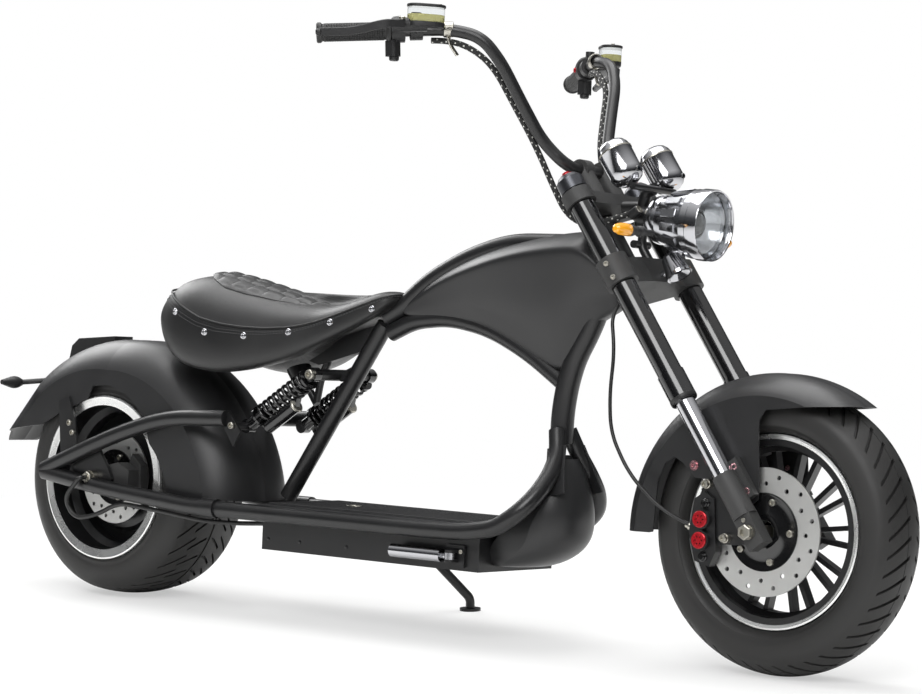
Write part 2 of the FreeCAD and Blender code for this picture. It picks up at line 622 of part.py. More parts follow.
node("headlight_lens", steered, lens)

lamp_back = lamp_tip - lamp_dir * lamp_len
bracket = [
    cylinder("lamp_mount", lamp_back - lamp_dir * 0.3, lamp_back - lamp_dir * 22, "dims.pod_rad - 12"),
    tube("gauge_bar", [fork(POD_UP - pod_half - 6.3, -POD_ACROSS, POD_AHEAD),
                       fork(POD_UP - pod_half - 6.3, POD_ACROSS, POD_AHEAD)], "dims.bar_rad / 2 + 0.5"),
    tube("bracket_post", [fork(top_s - 30, 0, 50), fork(top_s - 12, 0, 70), fork(POD_UP - pod_half - 6.3, 0, POD_AHEAD)],
         "dims.bar_rad"),
    tube("bracket_link", [lamp_back - lamp_dir * 12, fork(top_s - 30, 0, 50), fork(top_s - 8, 0, 18)], "dims.bar_rad + 1"),
    tube("bracket_stay", [lamp_back - lamp_dir * 12 + Vector(0, 0, -8), fork(low_e + 34, 0, 12), fork(low_e + 0.3, 0, 12)],
         "dims.bar_rad - 3"),
    cylinder("signal_bar", fork(low_e + 34, -24, 12), fork(low_e + 34, 24, 12), "dims.bar_rad - 4"),
]
node("lamp_bracket", steered, fuse("lamp_bracket_solid", bracket))

horn_at = fork(low_e - 38, 0, 52)
horn_cup = turned("horn_cup", [
    (-22, 0), (-22, 12), (-16, 17), (16, 24), (22, 24), (22, 20), (14, 8), (14, 0)], horn_at, leg_up * -1)
horn_stub = cylinder("horn_stub", horn_at, fork(low_e - 38, 0, 20.3), "dims.bar_rad / 2")
node("horn", steered, fuse("horn_solid", [horn_cup, horn_stub]))

signal_y = 182
signal_at = fork(0) + Vector(-268, -signal_y, 508.8)
signal = fuse("front_signal_right", [
    turned("front_signal_cup", [(-26, 0), (-26, 7), (0, 13), (24, 9, (14, 13)), (30, 0, (29, 5))],
           signal_at, Vector(0, 1, 0)),
    tube("front_signal_stalk", [signal_at + ACROSS * 20, signal_at + ACROSS * 70, fork(low_e + 34, -28.3, 12)],
         "dims.bar_rad / 2")])
pair("front_signals", steered, signal)

# Front fender: a domed arch over the tyre with side plates bolted to the legs


def arch(name, centre, path_rad, start_deg, end_deg, width, crown, skirt, wall):
    # a domed shell turned about the wheel: crown arc, round shoulders and straight skirts
    half = width / 2
    shoulder = crown * 0.62
    points_out = [(-half, path_rad - crown - skirt), (-half, path_rad - crown),
                  (0, path_rad, (-half * 0.74, path_rad - crown + shoulder)),
                  (half, path_rad - crown, (half * 0.74, path_rad - crown + shoulder)),
                  (half, path_rad - crown - skirt)]
    inner = [(half - wall, path_rad - crown - skirt), (half - wall, path_rad - crown),
             (0, path_rad - wall, (half * 0.74 - wall * 0.7, path_rad - crown + shoulder - wall * 0.7)),
             (-half + wall, path_rad - crown, (-half * 0.74 + wall * 0.7, path_rad - crown + shoulder - wall * 0.7)),
             (-half + wall, path_rad - crown - skirt)]
    section = Part.Face(outline(points_out + inner))
    section.Placement = Placement(centre, Rotation(ACROSS, Vector(0, 0, 1), Vector(1, 0, 0), "ZXY"))
    flat = feature(name + "_section", section)
    spin = doc.addObject("Part::Revolution", name)
    spin.Source, spin.Axis, spin.Base = flat, ACROSS, centre
    spin.Angle = end_deg - start_deg
    spin.Solid = False
    spin.Placement = Placement(Vector(), Rotation(ACROSS, start_deg), centre)
    return spin


fender_centre = front_axle + Vector(-12, 0, -14)
front_arch = arch("front_arch", fender_centre, dim("front_fender_rad"), -91, 35, dim("front_fender_width"), 40, 190,
                  dim("fender_wall"))
FENDER_EDGE = [  # x from the front axle, height over it: the lower edge of the near side
    (205, -230), (205, 212), (150, 221), (78, 216), (-4, 207), (-14, 190), (-15, 168), (-8, 87), (-9, 54), (-29, 38),
    (-85, 80), (-139, 84), (-164, 108), (-182, 117), (-200, 106), (-214, 73), (-219, -16), (-245, -22), (-340, -24),
    (-340, -230)]
fender_trim = slab("fender_trim", [(front_axle.x + x, front_axle.z + z) for x, z in FENDER_EDGE], SIDE, -200, 200)
node("front_fender", steered, cut("front_fender_shell", front_arch, fender_trim))

# Main frame: head tube, backbone, lower tank tube, down tube, seat tube and deck rails
head_ring = cut("head_ring", cylinder("head_out", head(low_e + 2), head(top_s - 2), "dims.head_rad"),
                cylinder("head_in", head(low_e), head(top_s), "dims.stem_rad + dims.shaft_gap"))
SPINE = [(664, 592), (705, 612), (770, 663), (863, 709), (962, 737)]  # x, z of the backbone from the seat
spine_points = [at(x, 0, z) for x, z in SPINE] + [head(top_s - 50)]
head_core = cylinder("head_core", head(low_e - 60), head(top_s + 40), "dims.head_rad + dims.fit / 3")
spine_tube = cut("backbone_coped", tube("spine_tube", spine_points, "dims.spine_dia / 2"), head_core)
node("backbone", leaned, spine_tube, head_ring)
DOWN = [(1151, 583), (1119, 527), (1104, 478), (1096, 425)]  # x, z of the down tube under the head
down_low = at(1096, 0, 372)
down_points = [head(low_e + 43)] + [at(x, 0, z) for x, z in DOWN] + [down_low]
down_raw = tube("down_raw", down_points, "dims.down_dia / 2")
node("down_tube", leaned, cut("down_coped", down_raw, head_core))
TANK = [(676, 561), (733, 586), (819, 595), (917, 578), (1013, 536)]  # x, z of the lower tank tube
tank_route = [at(x, 0, z) for x, z in TANK] + [at(1104, 0, 478)]
tank_raw = tube("tank_raw", tank_route, "dims.tank_tube_dia / 2")
down_fat = tube("down_fat", down_points, "dims.down_dia / 2 + dims.fit / 3")
spine_fat = tube("spine_fat", spine_points, "dims.spine_dia / 2 + dims.fit / 3")
node("tank_tube", leaned, cut("tank_coped", tank_raw, fuse("tank_cope", [down_fat, spine_fat])))
rail_y, rail_z = dim("rail_spread"), dim("rail_high")
RAIL = [  # x, share of the spread, height over the straight rail
    (1098, 0.125, 192), (1113, 0.24, 148), (1119, 0.45, 112), (1115, 0.7, 76), (1096, 0.9, 44),
    (1056, 0.98, 14), (985, 1, 2), (880, 1, 0), (362, 1, -1)]
rail_points = [at(x, -rail_y * share, rail_z + rise) for x, share, rise in RAIL]
rail_raw = tube("rail_raw", rail_points, "dims.rail_dia / 2")
rail_half = box("rail_half", Vector(200, -400, 0), at(1400, -0.15, 500))
rail_cut = common("rail_side", [cut("rail_coped", rail_raw, down_fat), rail_half])
rail_end = cylinder("rail_sleeve", Vector(325.3, -rail_y - 2.5, rail_z), Vector(364, -rail_y - 2.5, rail_z),
                    "dims.swing_dia / 2 + 2.5")
pair("deck_rails", leaned, fuse("deck_rail_right", [rail_cut, rail_end]))
seat_tube_low, seat_tube_top = at(425, 0, 229), at(660, 0, 577)
rear_cross_y = rail_y - dim("rail_dia") / 2 - 0.3
seat_tube_raw = cylinder("seat_tube_raw", seat_tube_low, seat_tube_top, "dims.seat_tube_dia / 2")
tank_fat = tube("tank_fat", tank_route, "dims.tank_tube_dia / 2 + dims.fit / 3")
cross_rear = cylinder("cross_rear", at(425, -rear_cross_y, rail_z - 2), at(425, rear_cross_y, rail_z - 2),
                      "dims.rail_dia / 2 - 4")
seat_tube_top_cut = cut("seat_tube_coped", seat_tube_raw, fuse("seat_cope", [spine_fat, tank_fat]))
node("seat_tube", leaned, fuse("seat_tube_cross", [seat_tube_top_cut, cross_rear]))

# Tank shell between the two tubes: a shoulder runs forward at its widest, the flanks fall in below it
top_corner, low_corner = head(top_s - 50), head(low_e + 43)
tank_side = slab("tank_side", stretched([(705, 606), (770, 660), (863, 706), (962, 734)]) + [
    (top_corner.x, top_corner.z), (low_corner.x, low_corner.z)] + stretched([
        (1149, 583), (1110, 490), (1013, 536), (917, 578), (819, 595), (733, 588)]), SIDE, -90, 90)
TANK_RIBS = [  # x, then half width and height of the top, the shoulder, the flank and the foot
    (690, (9, 618), (16, 604), (14, 590), (9, 566)),
    (790, (14, 684), (21, 672), (17, 634), (11, 588)),
    (850, (15, 710), (37, 692), (26, 640), (13, 586)),
    (915, (16, 734), (55, 682), (36, 628), (14, 568)),
    (975, (17, 750), (62, 700), (45, 634), (14, 540)),
    (1040, (17, 764), (66, 717), (52, 628), (15, 508)),
    (1110, (17, 780), (68, 723), (52, 616), (17, 466)),
    (1225, (16, 800), (58, 722), (44, 616), (18, 430)),
]
tank_ribs = []
for rib_x, *corners in TANK_RIBS:
    half_rib = [at(rib_x, across, up) for across, up in corners]
    other = [Vector(p.x, -p.y, p.z) for p in reversed(half_rib)]
    tank_ribs.append(Part.makePolygon(half_rib + other + half_rib[:1]))
tank_loft = feature("tank_loft", Part.makeLoft(tank_ribs, True, False))
tank_cut = common("tank_block", [tank_side, tank_loft])
tank_tools = [
    tube("spine_clear", spine_points, "dims.spine_dia / 2 + dims.fit"),
    tube("down_clear", down_points, "dims.down_dia / 2 + dims.fit"),
    tube("tank_clear", tank_route, "dims.tank_tube_dia / 2 + dims.fit"),
    cylinder("head_clear", head(low_e - 60), head(top_s + 40), "dims.head_rad + dims.fit")]
node("tank_shell", leaned, trimmed("tank", tank_cut, tank_tools))

# Footboard between the rails with its front upturned to the down tube
deck_top = rail_z + 15
deck_half = rail_y - dim("rail_dia") / 2 - dim("fit")
deck_low = deck_top - dim("deck_thick")
deck_side = slab("deck_side", stretched([
    (452, deck_low), (1010, deck_low), (1110, 275, (1070, 227)), (1117, 318), (1108, 351), (1101, 351), (1110, 318),
    (1103, 278), (1008, deck_top, (1064, 235)), (452, deck_top)]), SIDE, -200, 200)
deck_face = slab("deck_face", [
    (-deck_half, 180), (deck_half, 180), (deck_half, 217), (104, 247), (77, 279), (43, 315), (15, 351), (-15, 351),
    (-43, 315), (-77, 279), (-104, 247), (-deck_half, 217)], FRONT, 300, along(1200))
rail_clear = tube("rail_clear", rail_points, "dims.rail_dia / 2 + dims.fit")
rails_clear = fuse("rails_clear", [rail_clear, mirrored(rail_clear)])
deck_front = common("deck_block", [deck_side, deck_face])
node("deck_board", leaned, cut("deck_coped", deck_front, rails_clear))

# Battery box under the deck: folded tray with the pack inside
box_x0, box_x1 = along(dim("box_rear")), along(dim("box_rear") + dim("box_length"))
box_y, box_z0, box_z1 = dim("box_width") / 2, dim("box_low"), deck_low - dim("fit")
wall = dim("box_wall")
tray = cut("battery_tray", box("tray_out", Vector(box_x0, -box_y, box_z0), Vector(box_x1, box_y, box_z1)),
           box("tray_in", Vector(box_x0 + wall, -box_y + wall, box_z0 + wall),
               Vector(box_x1 - wall, box_y - wall, box_z1 + 5)))
node("battery_box", leaned, tray)
battery = box("battery", Vector(box_x0 + wall + 12, -box_y + wall + 8, box_z0 + wall + dim("fit")),
              Vector(box_x1 - wall - 12, box_y - wall - 8, box_z1 - 6))
node("battery_pack", leaned, battery)

# Chin cover under the front of the rails: a thin scoop, rounded towards the road and the wheel
CHIN = [  # height, rear edge, front at the middle, half width, how far its sides lie behind the middle
    (142, 990, 1051, 62, 38), (167, 1000, 1122, 78, 64), (193, 1015, 1149, 80, 66), (218, 1050, 1158, 80, 66),
    (243, 1088, 1159, 77, 56), (269, 1108, 1155, 68, 40), (294, 1117, 1148, 55, 26), (320, 1119, 1138, 42, 15),
    (345, 1114, 1125, 30, 8)]


def chin_loft(name, inset, floor):
    # plan outlines stacked up, each straight behind and one arc in front
    wires = []
    for high, rear, front, half, back in CHIN:
        half, front, rear = half - inset, along(front - inset), along(rear) - inset * 2
        wire = outline([(rear, -half), (front - back, -half), (front - back, half, (front, 0)), (rear, half)])
        wire.translate(Vector(0, 0, high + floor))
        wires.append(wire)
    return feature(name, Part.makeLoft(wires, True, False))


box_clear = box("box_clear", Vector(box_x0, -box_y - 5, box_z0 - 5),
                Vector(box_x1 + dim("fit"), box_y + 5, box_z1 + 5))
node("chin_cover", leaned, trimmed("chin", chin_loft("chin_outer", 0, 0), [
    chin_loft("chin_inner", 5, 6), box_clear, rail_clear, mirrored(rail_clear), deck_front]))

# Swingarm: a tube triangle each side with its dropout plate
arm_y = dim("swing_spread")
UPPER_ARM = [(-136, 0.97, 250), (-30, 1, 292), (85, 1, 336), (215, 0.97, 374), (372, 0.93, 380)]
upper_arm = tube("upper_arm", [Vector(x, -arm_y * k, z) for x, k, z in UPPER_ARM], "dims.swing_dia / 2")
lower_arm = tube("lower_arm", [Vector(-136, -arm_y * 0.97, 244), Vector(40, -arm_y, 222), Vector(292, -arm_y, 203), Vector(325, -arm_y, 203)],
                 "dims.swing_dia / 2")
drop_plate = slab("drop_plate", [(-60, 238), (-20, 226), (40, 224), (52, 240), (40, 262), (10, 300), (-30, 286),
                                 (-64, 262)], SIDE, arm_y - 22, arm_y - 22 + dim("arm_plate"))
gusset = slab("gusset", [(352, 384), (376, 396), (410, 356), (392, 326), (366, 360)], SIDE, arm_y - 16, arm_y - 10)
arm_axle = cylinder("arm_axle_hole", rear_axle - ACROSS * 200, rear_axle - ACROSS * 90, "dims.rear_axle_rad + dims.fit")
nut_pocket = cylinder("arm_nut_pocket", rear_axle - ACROSS * (arm_y - 14), rear_axle - ACROSS * (arm_y + 30),
                      "dims.rear_axle_rad + 6.3")
shock_pin = cylinder("shock_pin", Vector(386, -arm_y + 12, 366), Vector(386, -dim("shock_spread") - 9.3, 366), "dims.swing_dia / 4")
arm_right = cut("arm_right", fuse("arm_blank", [upper_arm, lower_arm, drop_plate, gusset, shock_pin]),
                fuse("arm_axle_pocket", [arm_axle, nut_pocket]))
pair("swingarm", leaned, arm_right)
rear_half = arm_y + 10
node("rear_axle", leaned, fuse("rear_axle_rod", [
    cylinder("rear_shaft", rear_axle - ACROSS * rear_half, rear_axle + ACROSS * rear_half, "dims.rear_axle_rad")]
    + [cylinder(f"rear_nut_{i}", rear_axle + ACROSS * (s * (arm_y - 13.7)), rear_axle + ACROSS * (s * (arm_y - 2)),
                "dims.rear_axle_rad + 6") for i, s in enumerate((-1, 1))]
    + [cylinder(f"rear_spacer_{i}", rear_axle + ACROSS * (s * (motor_half + 0.4 + (5 if s < 0 else 0))),
                rear_axle + ACROSS * (s * (arm_y - 22.3)), "dims.rear_axle_rad + 5") for i, s in enumerate((-1, 1))]))

# Rear fender: the same domed section swept over the wheel and out to a flared tail
TAIL_RUN = [(-358, 298), (-236, 437)]  # x, z of the straight tail on the crown line
rear_width, rear_crown, rear_skirt = dim("rear_fender_width"), 62, 96
rear_top, rear_front = Vector(8, 0, 523), Vector(364, 0, 212)
tail_end, tail_bend = (Vector(x, 0, z) for x, z in TAIL_RUN)
crown_line = Part.Wire([
    Part.LineSegment(tail_end, tail_bend).toShape(),
    Part.Arc(tail_bend, Vector(-124, 0, 503), rear_top).toShape(),
    Part.Arc(rear_top, Vector(252, 0, 434), rear_front).toShape()])
tail_up = (tail_bend - tail_end).cross(ACROSS).normalize()


def dome(width, crown, skirt, wall):
    # the closed section of a fender, (across, up), its crown at the origin
    half, shoulder = width / 2, crown * 0.62

    def side(inset, sign):
        return [(sign * (half - inset), -crown - skirt), (sign * (half - inset), -crown)]

    def bend(inset, sign):
        return (sign * (half * 0.74 - inset * 0.7), shoulder - crown - inset * 0.7)

    outer_low, outer_high = side(0, -1)
    right_low, right_high = side(0, 1)
    inner_low, inner_high = side(wall, 1)
    left_low, left_high = side(wall, -1)
    return [outer_low, outer_high, (0, 0, bend(0, -1)), (*right_high, bend(0, 1)), right_low,
            inner_low, inner_high, (0, -wall, bend(wall, 1)), (*left_high, bend(wall, -1)), left_low]


rear_section = outline(dome(rear_width, rear_crown, rear_skirt, dim("fender_wall")))
rear_section.Placement = Placement(tail_end, Rotation(ACROSS, tail_up, Vector(), "ZXY"))
rear_shell = feature("rear_fender_sweep", crown_line.makePipeShell([rear_section], True, True))
REAR_EDGE = [  # x, z of the lower edge of the near side
    (-420, 250), (-372, 285), (-330, 318), (-172, 340), (-106, 374), (-40, 398), (-24, 427), (22, 430), (72, 414),
    (102, 393), (127, 370), (182, 219), (420, 214), (420, 100), (-420, 100)]
rear_trim = slab("rear_trim", REAR_EDGE, SIDE, -200, 200)
node("rear_fender", leaned, cut("rear_fender_shell", rear_shell, rear_trim))
core_skin = dome(rear_width + 0.6, rear_crown, rear_skirt, 1)[:5]
core_section = outline([(p[0], p[1] + 0.3, *p[2:]) for p in core_skin])
core_section.Placement = rear_section.Placement
rear_core = feature("rear_fender_core", crown_line.makePipeShell([core_section], True, True))

# Saddle, its bracket and the shocks
seat_side = slab("seat_side", stretched([
    (60, 570), (120, 650, (80, 618)), (345, 660, (225, 677)), (450, 628, (402, 648)), (520, 607, (486, 614)),
    (590, 619, (555, 609)), (690, 647, (642, 636)), (704, 628, (701, 641)), (640, 596), (560, 552, (604, 572)),
    (400, 474, (490, 508)),
    (187, 517, (292, 486)), (66, 558)]), SIDE, -200, 200)
seat_half = dim("seat_width") / 2
seat_plan = slab("seat_plan", stretched([
    (62, -62, (48, 0)), (230, -seat_half, (112, -seat_half * 0.86)), (430, -seat_half * 0.84, (340, -seat_half)),
    (700, -44, (570, -70)), (700, 44, (712, 0)), (430, seat_half * 0.84, (570, 70)), (230, seat_half, (340, seat_half)),
    (62, 62, (112, seat_half * 0.86))]), PLAN, 400, 760)
seat_crown = slab("seat_crown", [
    (-160, 430), (160, 430), (seat_half + 5, 566), (0, 684, (98, 640)), (-seat_half - 5, 566, (-98, 640))],
    FRONT, 0, along(800))
seat_block = cut("seat_block", common("seat_solid", [seat_side, seat_plan, seat_crown]), spine_fat)
node("seat", leaned, seat_block)

upper_eye, lower_eye = at(552, 0, 474), Vector(386, 0, 366)
shock_y = dim("shock_spread")
shock_dir = (upper_eye - lower_eye).normalize()
shock_len = (upper_eye - lower_eye).Length
offset_y = ACROSS * -shock_y


def shock_rod(name, start, end, radius_expr):
    return cylinder(name, lower_eye + offset_y + shock_dir * start, lower_eye + offset_y + shock_dir * end, radius_expr)


eyes = [cylinder("shock_eye_low", lower_eye + offset_y - ACROSS * 9, lower_eye + offset_y + ACROSS * 9, "dims.spring_rad - 8"),
        cylinder("shock_eye_top", upper_eye + offset_y - ACROSS * 9, upper_eye + offset_y + ACROSS * 9, "dims.spring_rad - 8")]
shock = fuse("shock_right", eyes + [
    shock_rod("shock_damper", 8, 60, "dims.spring_rad / 2 + 2"), shock_rod("shock_shaft", 50, shock_len - 8, "dims.spring_rad / 3"),
    shock_rod("shock_seat_low", 34, 39, "dims.spring_rad"), shock_rod("shock_seat_top", shock_len - 20, shock_len - 15, "dims.spring_rad")])
pair("shock_absorbers", leaned, shock)
COILS = 9
coil_len = shock_len - 20 - 39 - 0.6 - dim("spring_wire")
coil_rad = dim("spring_rad") - dim("spring_wire") / 2
helix = Part.makeHelix(coil_len / COILS, coil_len, coil_rad)
wire_circle = Part.Wire(Part.makeCircle(dim("spring_wire") / 2, Vector(coil_rad, 0, 0), Vector(0, 1, 0)))
coil = Part.Wire(helix.Edges).makePipeShell([wire_circle], True, True)
coil.Placement = Placement(lower_eye + offset_y + shock_dir * (39.3 + dim("spring_wire") / 2), Rotation(Vector(0, 0, 1), shock_dir))
pair("shock_springs", leaned, feature("spring_right", coil))

# Foot pegs folded back, with their clevis brackets on the box
peg_x, peg_z = along(950), 158
peg_y = -(box_y + dim("peg_rad") + 8)
peg_pivot = Vector(peg_x, peg_y, peg_z)
peg = fuse("foot_peg_solid", [
    cylinder("peg_bar", peg_pivot + Vector(-18, 0, 0), peg_pivot + Vector(-dim("peg_length"), 0, 0), "dims.peg_rad"),
    cylinder("peg_neck", peg_pivot, peg_pivot + Vector(-19, 0, 0), "dims.peg_rad - 7"),
    cylinder("peg_eye", peg_pivot + Vector(0, 0, -6), peg_pivot + Vector(0, 0, 6), "dims.peg_rad - 3")])
peg_pin = cylinder("peg_pin_hole", peg_pivot + Vector(0, 0, -20), peg_pivot + Vector(0, 0, 20), "dims.peg_rad / 4 + dims.shaft_gap")
peg_right = cut("peg_right", peg, peg_pin)
node("foot_peg_right", leaned, peg_right)
node("foot_peg_left", leaned, mirrored(peg_right))
ear_low = cylinder("ear_low", peg_pivot + Vector(0, 0, -11.3), peg_pivot + Vector(0, 0, -6.3), "dims.peg_rad - 3")
ear_top = cylinder("ear_top", peg_pivot + Vector(0, 0, 6.3), peg_pivot + Vector(0, 0, 11.3), "dims.peg_rad - 3")
ear_plates = [box(f"ear_plate_{i}", Vector(peg_x - 9.5, peg_y, z), Vector(peg_x + 9.5, -box_y - 6, z + 5))
              for i, z in enumerate((peg_z - 11.3, peg_z + 6.3))]
back_plate = box("peg_back_plate", Vector(peg_x - 22, -box_y - 6.3, peg_z - 20), Vector(peg_x + 22, -box_y - 0.3, peg_z + 20))
pin = cylinder("peg_pin", peg_pivot + Vector(0, 0, -12), peg_pivot + Vector(0, 0, 12), "dims.peg_rad / 4")
peg_mount = fuse("peg_bracket_right", [ear_low, ear_top, back_plate, pin] + ear_plates)
pair("peg_brackets", leaned, peg_mount)

# Side stand on the left, its foot flat on the road
STAND_TILT = 33
stand_pivot = at(640, box_y + 24, 160)
stand_axis = Vector(0, math.cos(math.radians(STAND_TILT)), math.sin(math.radians(STAND_TILT)))
foot_x, foot_y = along(700), box_y + 138
foot_at = Vector(foot_x, foot_y, foot_y * math.tan(lean))
foot_pad = cylinder("stand_foot", foot_at, foot_at + road_up * 5, "dims.stand_foot_rad")
stand_leg = tube("stand_leg", [stand_pivot + stand_axis * 11, stand_pivot + stand_axis * 12 + Vector(14, 16, -34),
                               foot_at + road_up * 24, foot_at + road_up * 4], "dims.stand_rad")
stand_eye = cylinder("stand_eye", stand_pivot + stand_axis * 0.3, stand_pivot + stand_axis * 19.3, "dims.stand_rad + 6")
stand_hole = cylinder("stand_hole", stand_pivot, stand_pivot + stand_axis * 22, "dims.stand_rad / 2 + dims.shaft_gap")
node("side_stand", leaned, cut("side_stand_bored", fuse("side_stand_blank", [foot_pad, stand_leg, stand_eye]), stand_hole))
stand_plate = cylinder("stand_plate", stand_pivot - stand_axis * 7, stand_pivot, "dims.stand_rad + 6")
stand_pin = cylinder("stand_pin", stand_pivot - stand_axis * 2, stand_pivot + stand_axis * 20.5, "dims.stand_rad / 2")
stand_arm = slab("stand_arm", [(box_y + 0.3, 146), (box_y + 0.3, 178), (box_y + 15, 168.5), (box_y + 28, 148.3)],
                 FRONT, stand_pivot.x - 16, stand_pivot.x + 16)
node("stand_bracket", leaned, fuse("stand_bracket_solid", [stand_plate, stand_pin, stand_arm]))

# Seat bracket on the seat tube's head with its rubber buffer, and the bar the shocks hang from
seat_mount = fuse("seat_mount_blank", [
    slab("seat_web", stretched([
        (470, 500), (500, 492), (600, 520), (648, 548), (636, 572), (560, 550), (500, 515)]), SIDE, -9, 9),
    cylinder("seat_buffer", at(462, 0, 452), at(436, 0, 486), "dims.spring_rad + 2"),
    cylinder("buffer_rod", at(490, 0, 415), at(436, 0, 486), "dims.spring_rad / 3"),
    tube("buffer_arm", [at(490, 0, 420), at(500, 0, 470), at(520, 0, 508)], "dims.spring_rad / 3")])
seat_tube_clear = cylinder("seat_tube_clear", seat_tube_low, seat_tube_top, "dims.seat_tube_dia / 2 + dims.fit")
shock_bar = cylinder("shock_bar", upper_eye - ACROSS * (shock_y - 9.3), upper_eye + ACROSS * (shock_y - 9.3), "dims.spring_rad / 2")
bar_lug = slab("bar_lug", stretched([(540, 470), (562, 462), (596, 472), (606, 500)]), SIDE, -12, 12)
node("seat_mount", leaned, cut("seat_mount_cut", cut("seat_mount_pan", seat_mount, seat_block), seat_tube_clear),
     cut("shock_mount_cut", fuse("shock_mount_blank", [shock_bar, bar_lug]), seat_tube_clear))

# Front caliper on its bracket, behind the right leg
FRONT_CALIPER = [(-128, 48), (-108, 62), (-88, 50), (-80, -40), (-92, -66), (-122, -58), (-136, -10)]
caliper_slot = turned("front_caliper_slot", [(-4.5, 20), (4.5, 20), (4.5, 118), (-4.5, 118)],
                      front_axle + ACROSS * front_disc_y)
caliper_raw = slab("front_caliper_raw", [(front_axle.x + x, front_axle.z + z) for x, z in FRONT_CALIPER], SIDE,
                   -front_disc_y - 17, -front_disc_y + 24)
pistons = [cylinder(f"front_piston_{i}", front_axle + Vector(-108, front_disc_y - 23, z),
                    front_axle + Vector(-108, front_disc_y - 34, z), "dims.slider_rad") for i, z in enumerate((14, -22))]
lug_clear = leg_ring("lug_clear", 20, 120, "dims.slider_rad + 4 + dims.fit")
caliper_arm = slab("front_caliper_arm", [(front_axle.x + x, front_axle.z + z) for x, z in (
    (-118, 66), (-100, 76), (-82, 66), (-50, 40), (-22, 14), (-2, -20), (-48, -26), (-74, -26), (-88, -10))], SIDE,
    -front_disc_y + 6, spread - 15.3)
node("front_caliper", steered, cut("front_caliper_cut", fuse("front_caliper_blank", [caliper_raw, caliper_arm] + pistons),
                                   fuse("front_caliper_tools", [caliper_slot, lug_clear])))

# Rear caliper on the right, over the rear disc
REAR_CALIPER = [(70, 52), (96, 30), (100, -20), (84, -44), (62, -34), (58, 20)]
rear_slot = turned("rear_caliper_slot", [(-4.5, 20), (4.5, 20), (4.5, 102), (-4.5, 102)], rear_axle + ACROSS * rear_disc_y)
rear_caliper = slab("rear_caliper_raw", [(rear_axle.x + x, rear_axle.z + z) for x, z in REAR_CALIPER], SIDE,
                    -rear_disc_y - 0.5, -rear_disc_y + 24)
rear_arm = slab("rear_caliper_arm", [(rear_axle.x + x, rear_axle.z + z) for x, z in (
    (-14, -16), (-14, 16), (60, 34), (92, 20), (92, -20), (60, -30))], SIDE, -rear_disc_y + 24, arm_y - 22.3)
rear_hole = cylinder("rear_arm_hole", rear_axle - ACROSS * 200, rear_axle, "dims.rear_axle_rad + 5.3")
node("rear_caliper", leaned, cut("rear_caliper_cut", cut("rear_caliper_slotted", fuse("rear_caliper_blank", [
    rear_caliper, rear_arm]), rear_slot), rear_hole))

# Fender brackets from the swingarm, tail light and rear signals
BRACKET = [(-104, 258), (-68, 272), (-60, 300), (-66, 352), (-90, 402), (-118, 392), (-112, 330)]
fender_plate = slab("fender_plate", BRACKET, SIDE, rear_width / 2 + 0.3, rear_width / 2 + 5.3)
upper_arm_clear = tube("upper_arm_clear", [Vector(x, -arm_y * k, z) for x, k, z in UPPER_ARM], "dims.swing_dia / 2 + dims.fit")
pair("fender_brackets", leaned, cut("fender_bracket_right", fender_plate, upper_arm_clear))
lamp_block = slab("tail_lamp", [(-196, 474), (-188, 506), (-168, 522), (-60, 530), (-60, 512), (-124, 500), (-180, 462)],
                  SIDE, -26, 26)
node("tail_light", leaned, cut("tail_lamp_seated", lamp_block, rear_core))
rear_signal = fuse("rear_signal_right", [
    turned("rear_signal_cup", [(-30, 0), (-30, 5), (-4, 12), (22, 8, (12, 12)), (28, 0, (27, 5))],
           Vector(-262, -122, 424), ACROSS),
    tube("rear_signal_stalk", [Vector(-262, -104, 424), Vector(-252, -86, 426), Vector(-214, -52, 432)],
         "dims.spring_rad / 4")])
pair("rear_signals", leaned, cut("rear_signal_seated", rear_signal, rear_core))

# Cables that the bike holds: front brake hose, sleeved looms on the bar and the motor lead


def shifted(points):
    # points written for the first steering height follow the fork
    return [Vector(x, spaced(y), z) + bar_shift for x, y, z in points]


HOSE = [(1274, -70, 642), (1262, -92, 606), (1280, -104, 540), (1276, -106, 470), (1284, -108, 400), (1330, -112, 330),
        (1396, -110, 276), (1448.3, -86, 248)]
node("brake_hose", steered, tube("brake_hose_run", shifted(HOSE), "dims.hose_dia / 2"))
SLEEVE = [(947, -250, 1082), (970, -224, 1085), (1005, -200, 1071), (1037, -178, 1040), (1057, -140, 977),
          (1081, -100, 908)]
sleeve_run = shifted(SLEEVE) + [fork(746, -88, -44), fork(700, -66, -58), fork(664, -54, -40), fork(644, -44, 12),
                                fork(640, -27, 36)]
loom_right = tube("bar_loom_right", sleeve_run, "dims.sleeve_dia / 2")
pair("bar_looms", steered, loom_right)
MOTOR_LEAD = [(0, -150.6, 240.7), (0, -166, 240.7), (-44, -164, 196), (-20, -156, 156), (34, -148, 166), (90, -140, 195),
              (210, -139, 187), (330, -134, 175), (400, -112, 176), (458.5, -100, 180)]  # along the lower arm
node("motor_lead", leaned, tube("motor_lead_run", [at(*p) for p in MOTOR_LEAD], "dims.sleeve_dia / 2 - 1"))

doc.recompute()

failed = [piece.Name for piece in doc.Objects if {"Invalid", "Error"} & set(piece.State)]
if failed:
    raise RuntimeError(f"not built: {failed}")
os.makedirs("parts", exist_ok=True)
for part in nodes:
    if part.Shape.isNull() or not part.Shape.isValid():
        raise RuntimeError(f"{part.Label} has no valid shape")
    solids = len(part.Shape.Solids)
    corner = part.Shape.BoundBox
    print(f"{part.Label:18s} solids {solids} volume {part.Shape.Volume / 1000:9.1f} cm3 "
          f"x {corner.XMin:7.1f} {corner.XMax:7.1f} y {corner.YMin:7.1f} {corner.YMax:7.1f} z {corner.ZMin:7.1f} {corner.ZMax:7.1f}")
    part.Shape.exportStep(f"parts/{part.Label}.step")
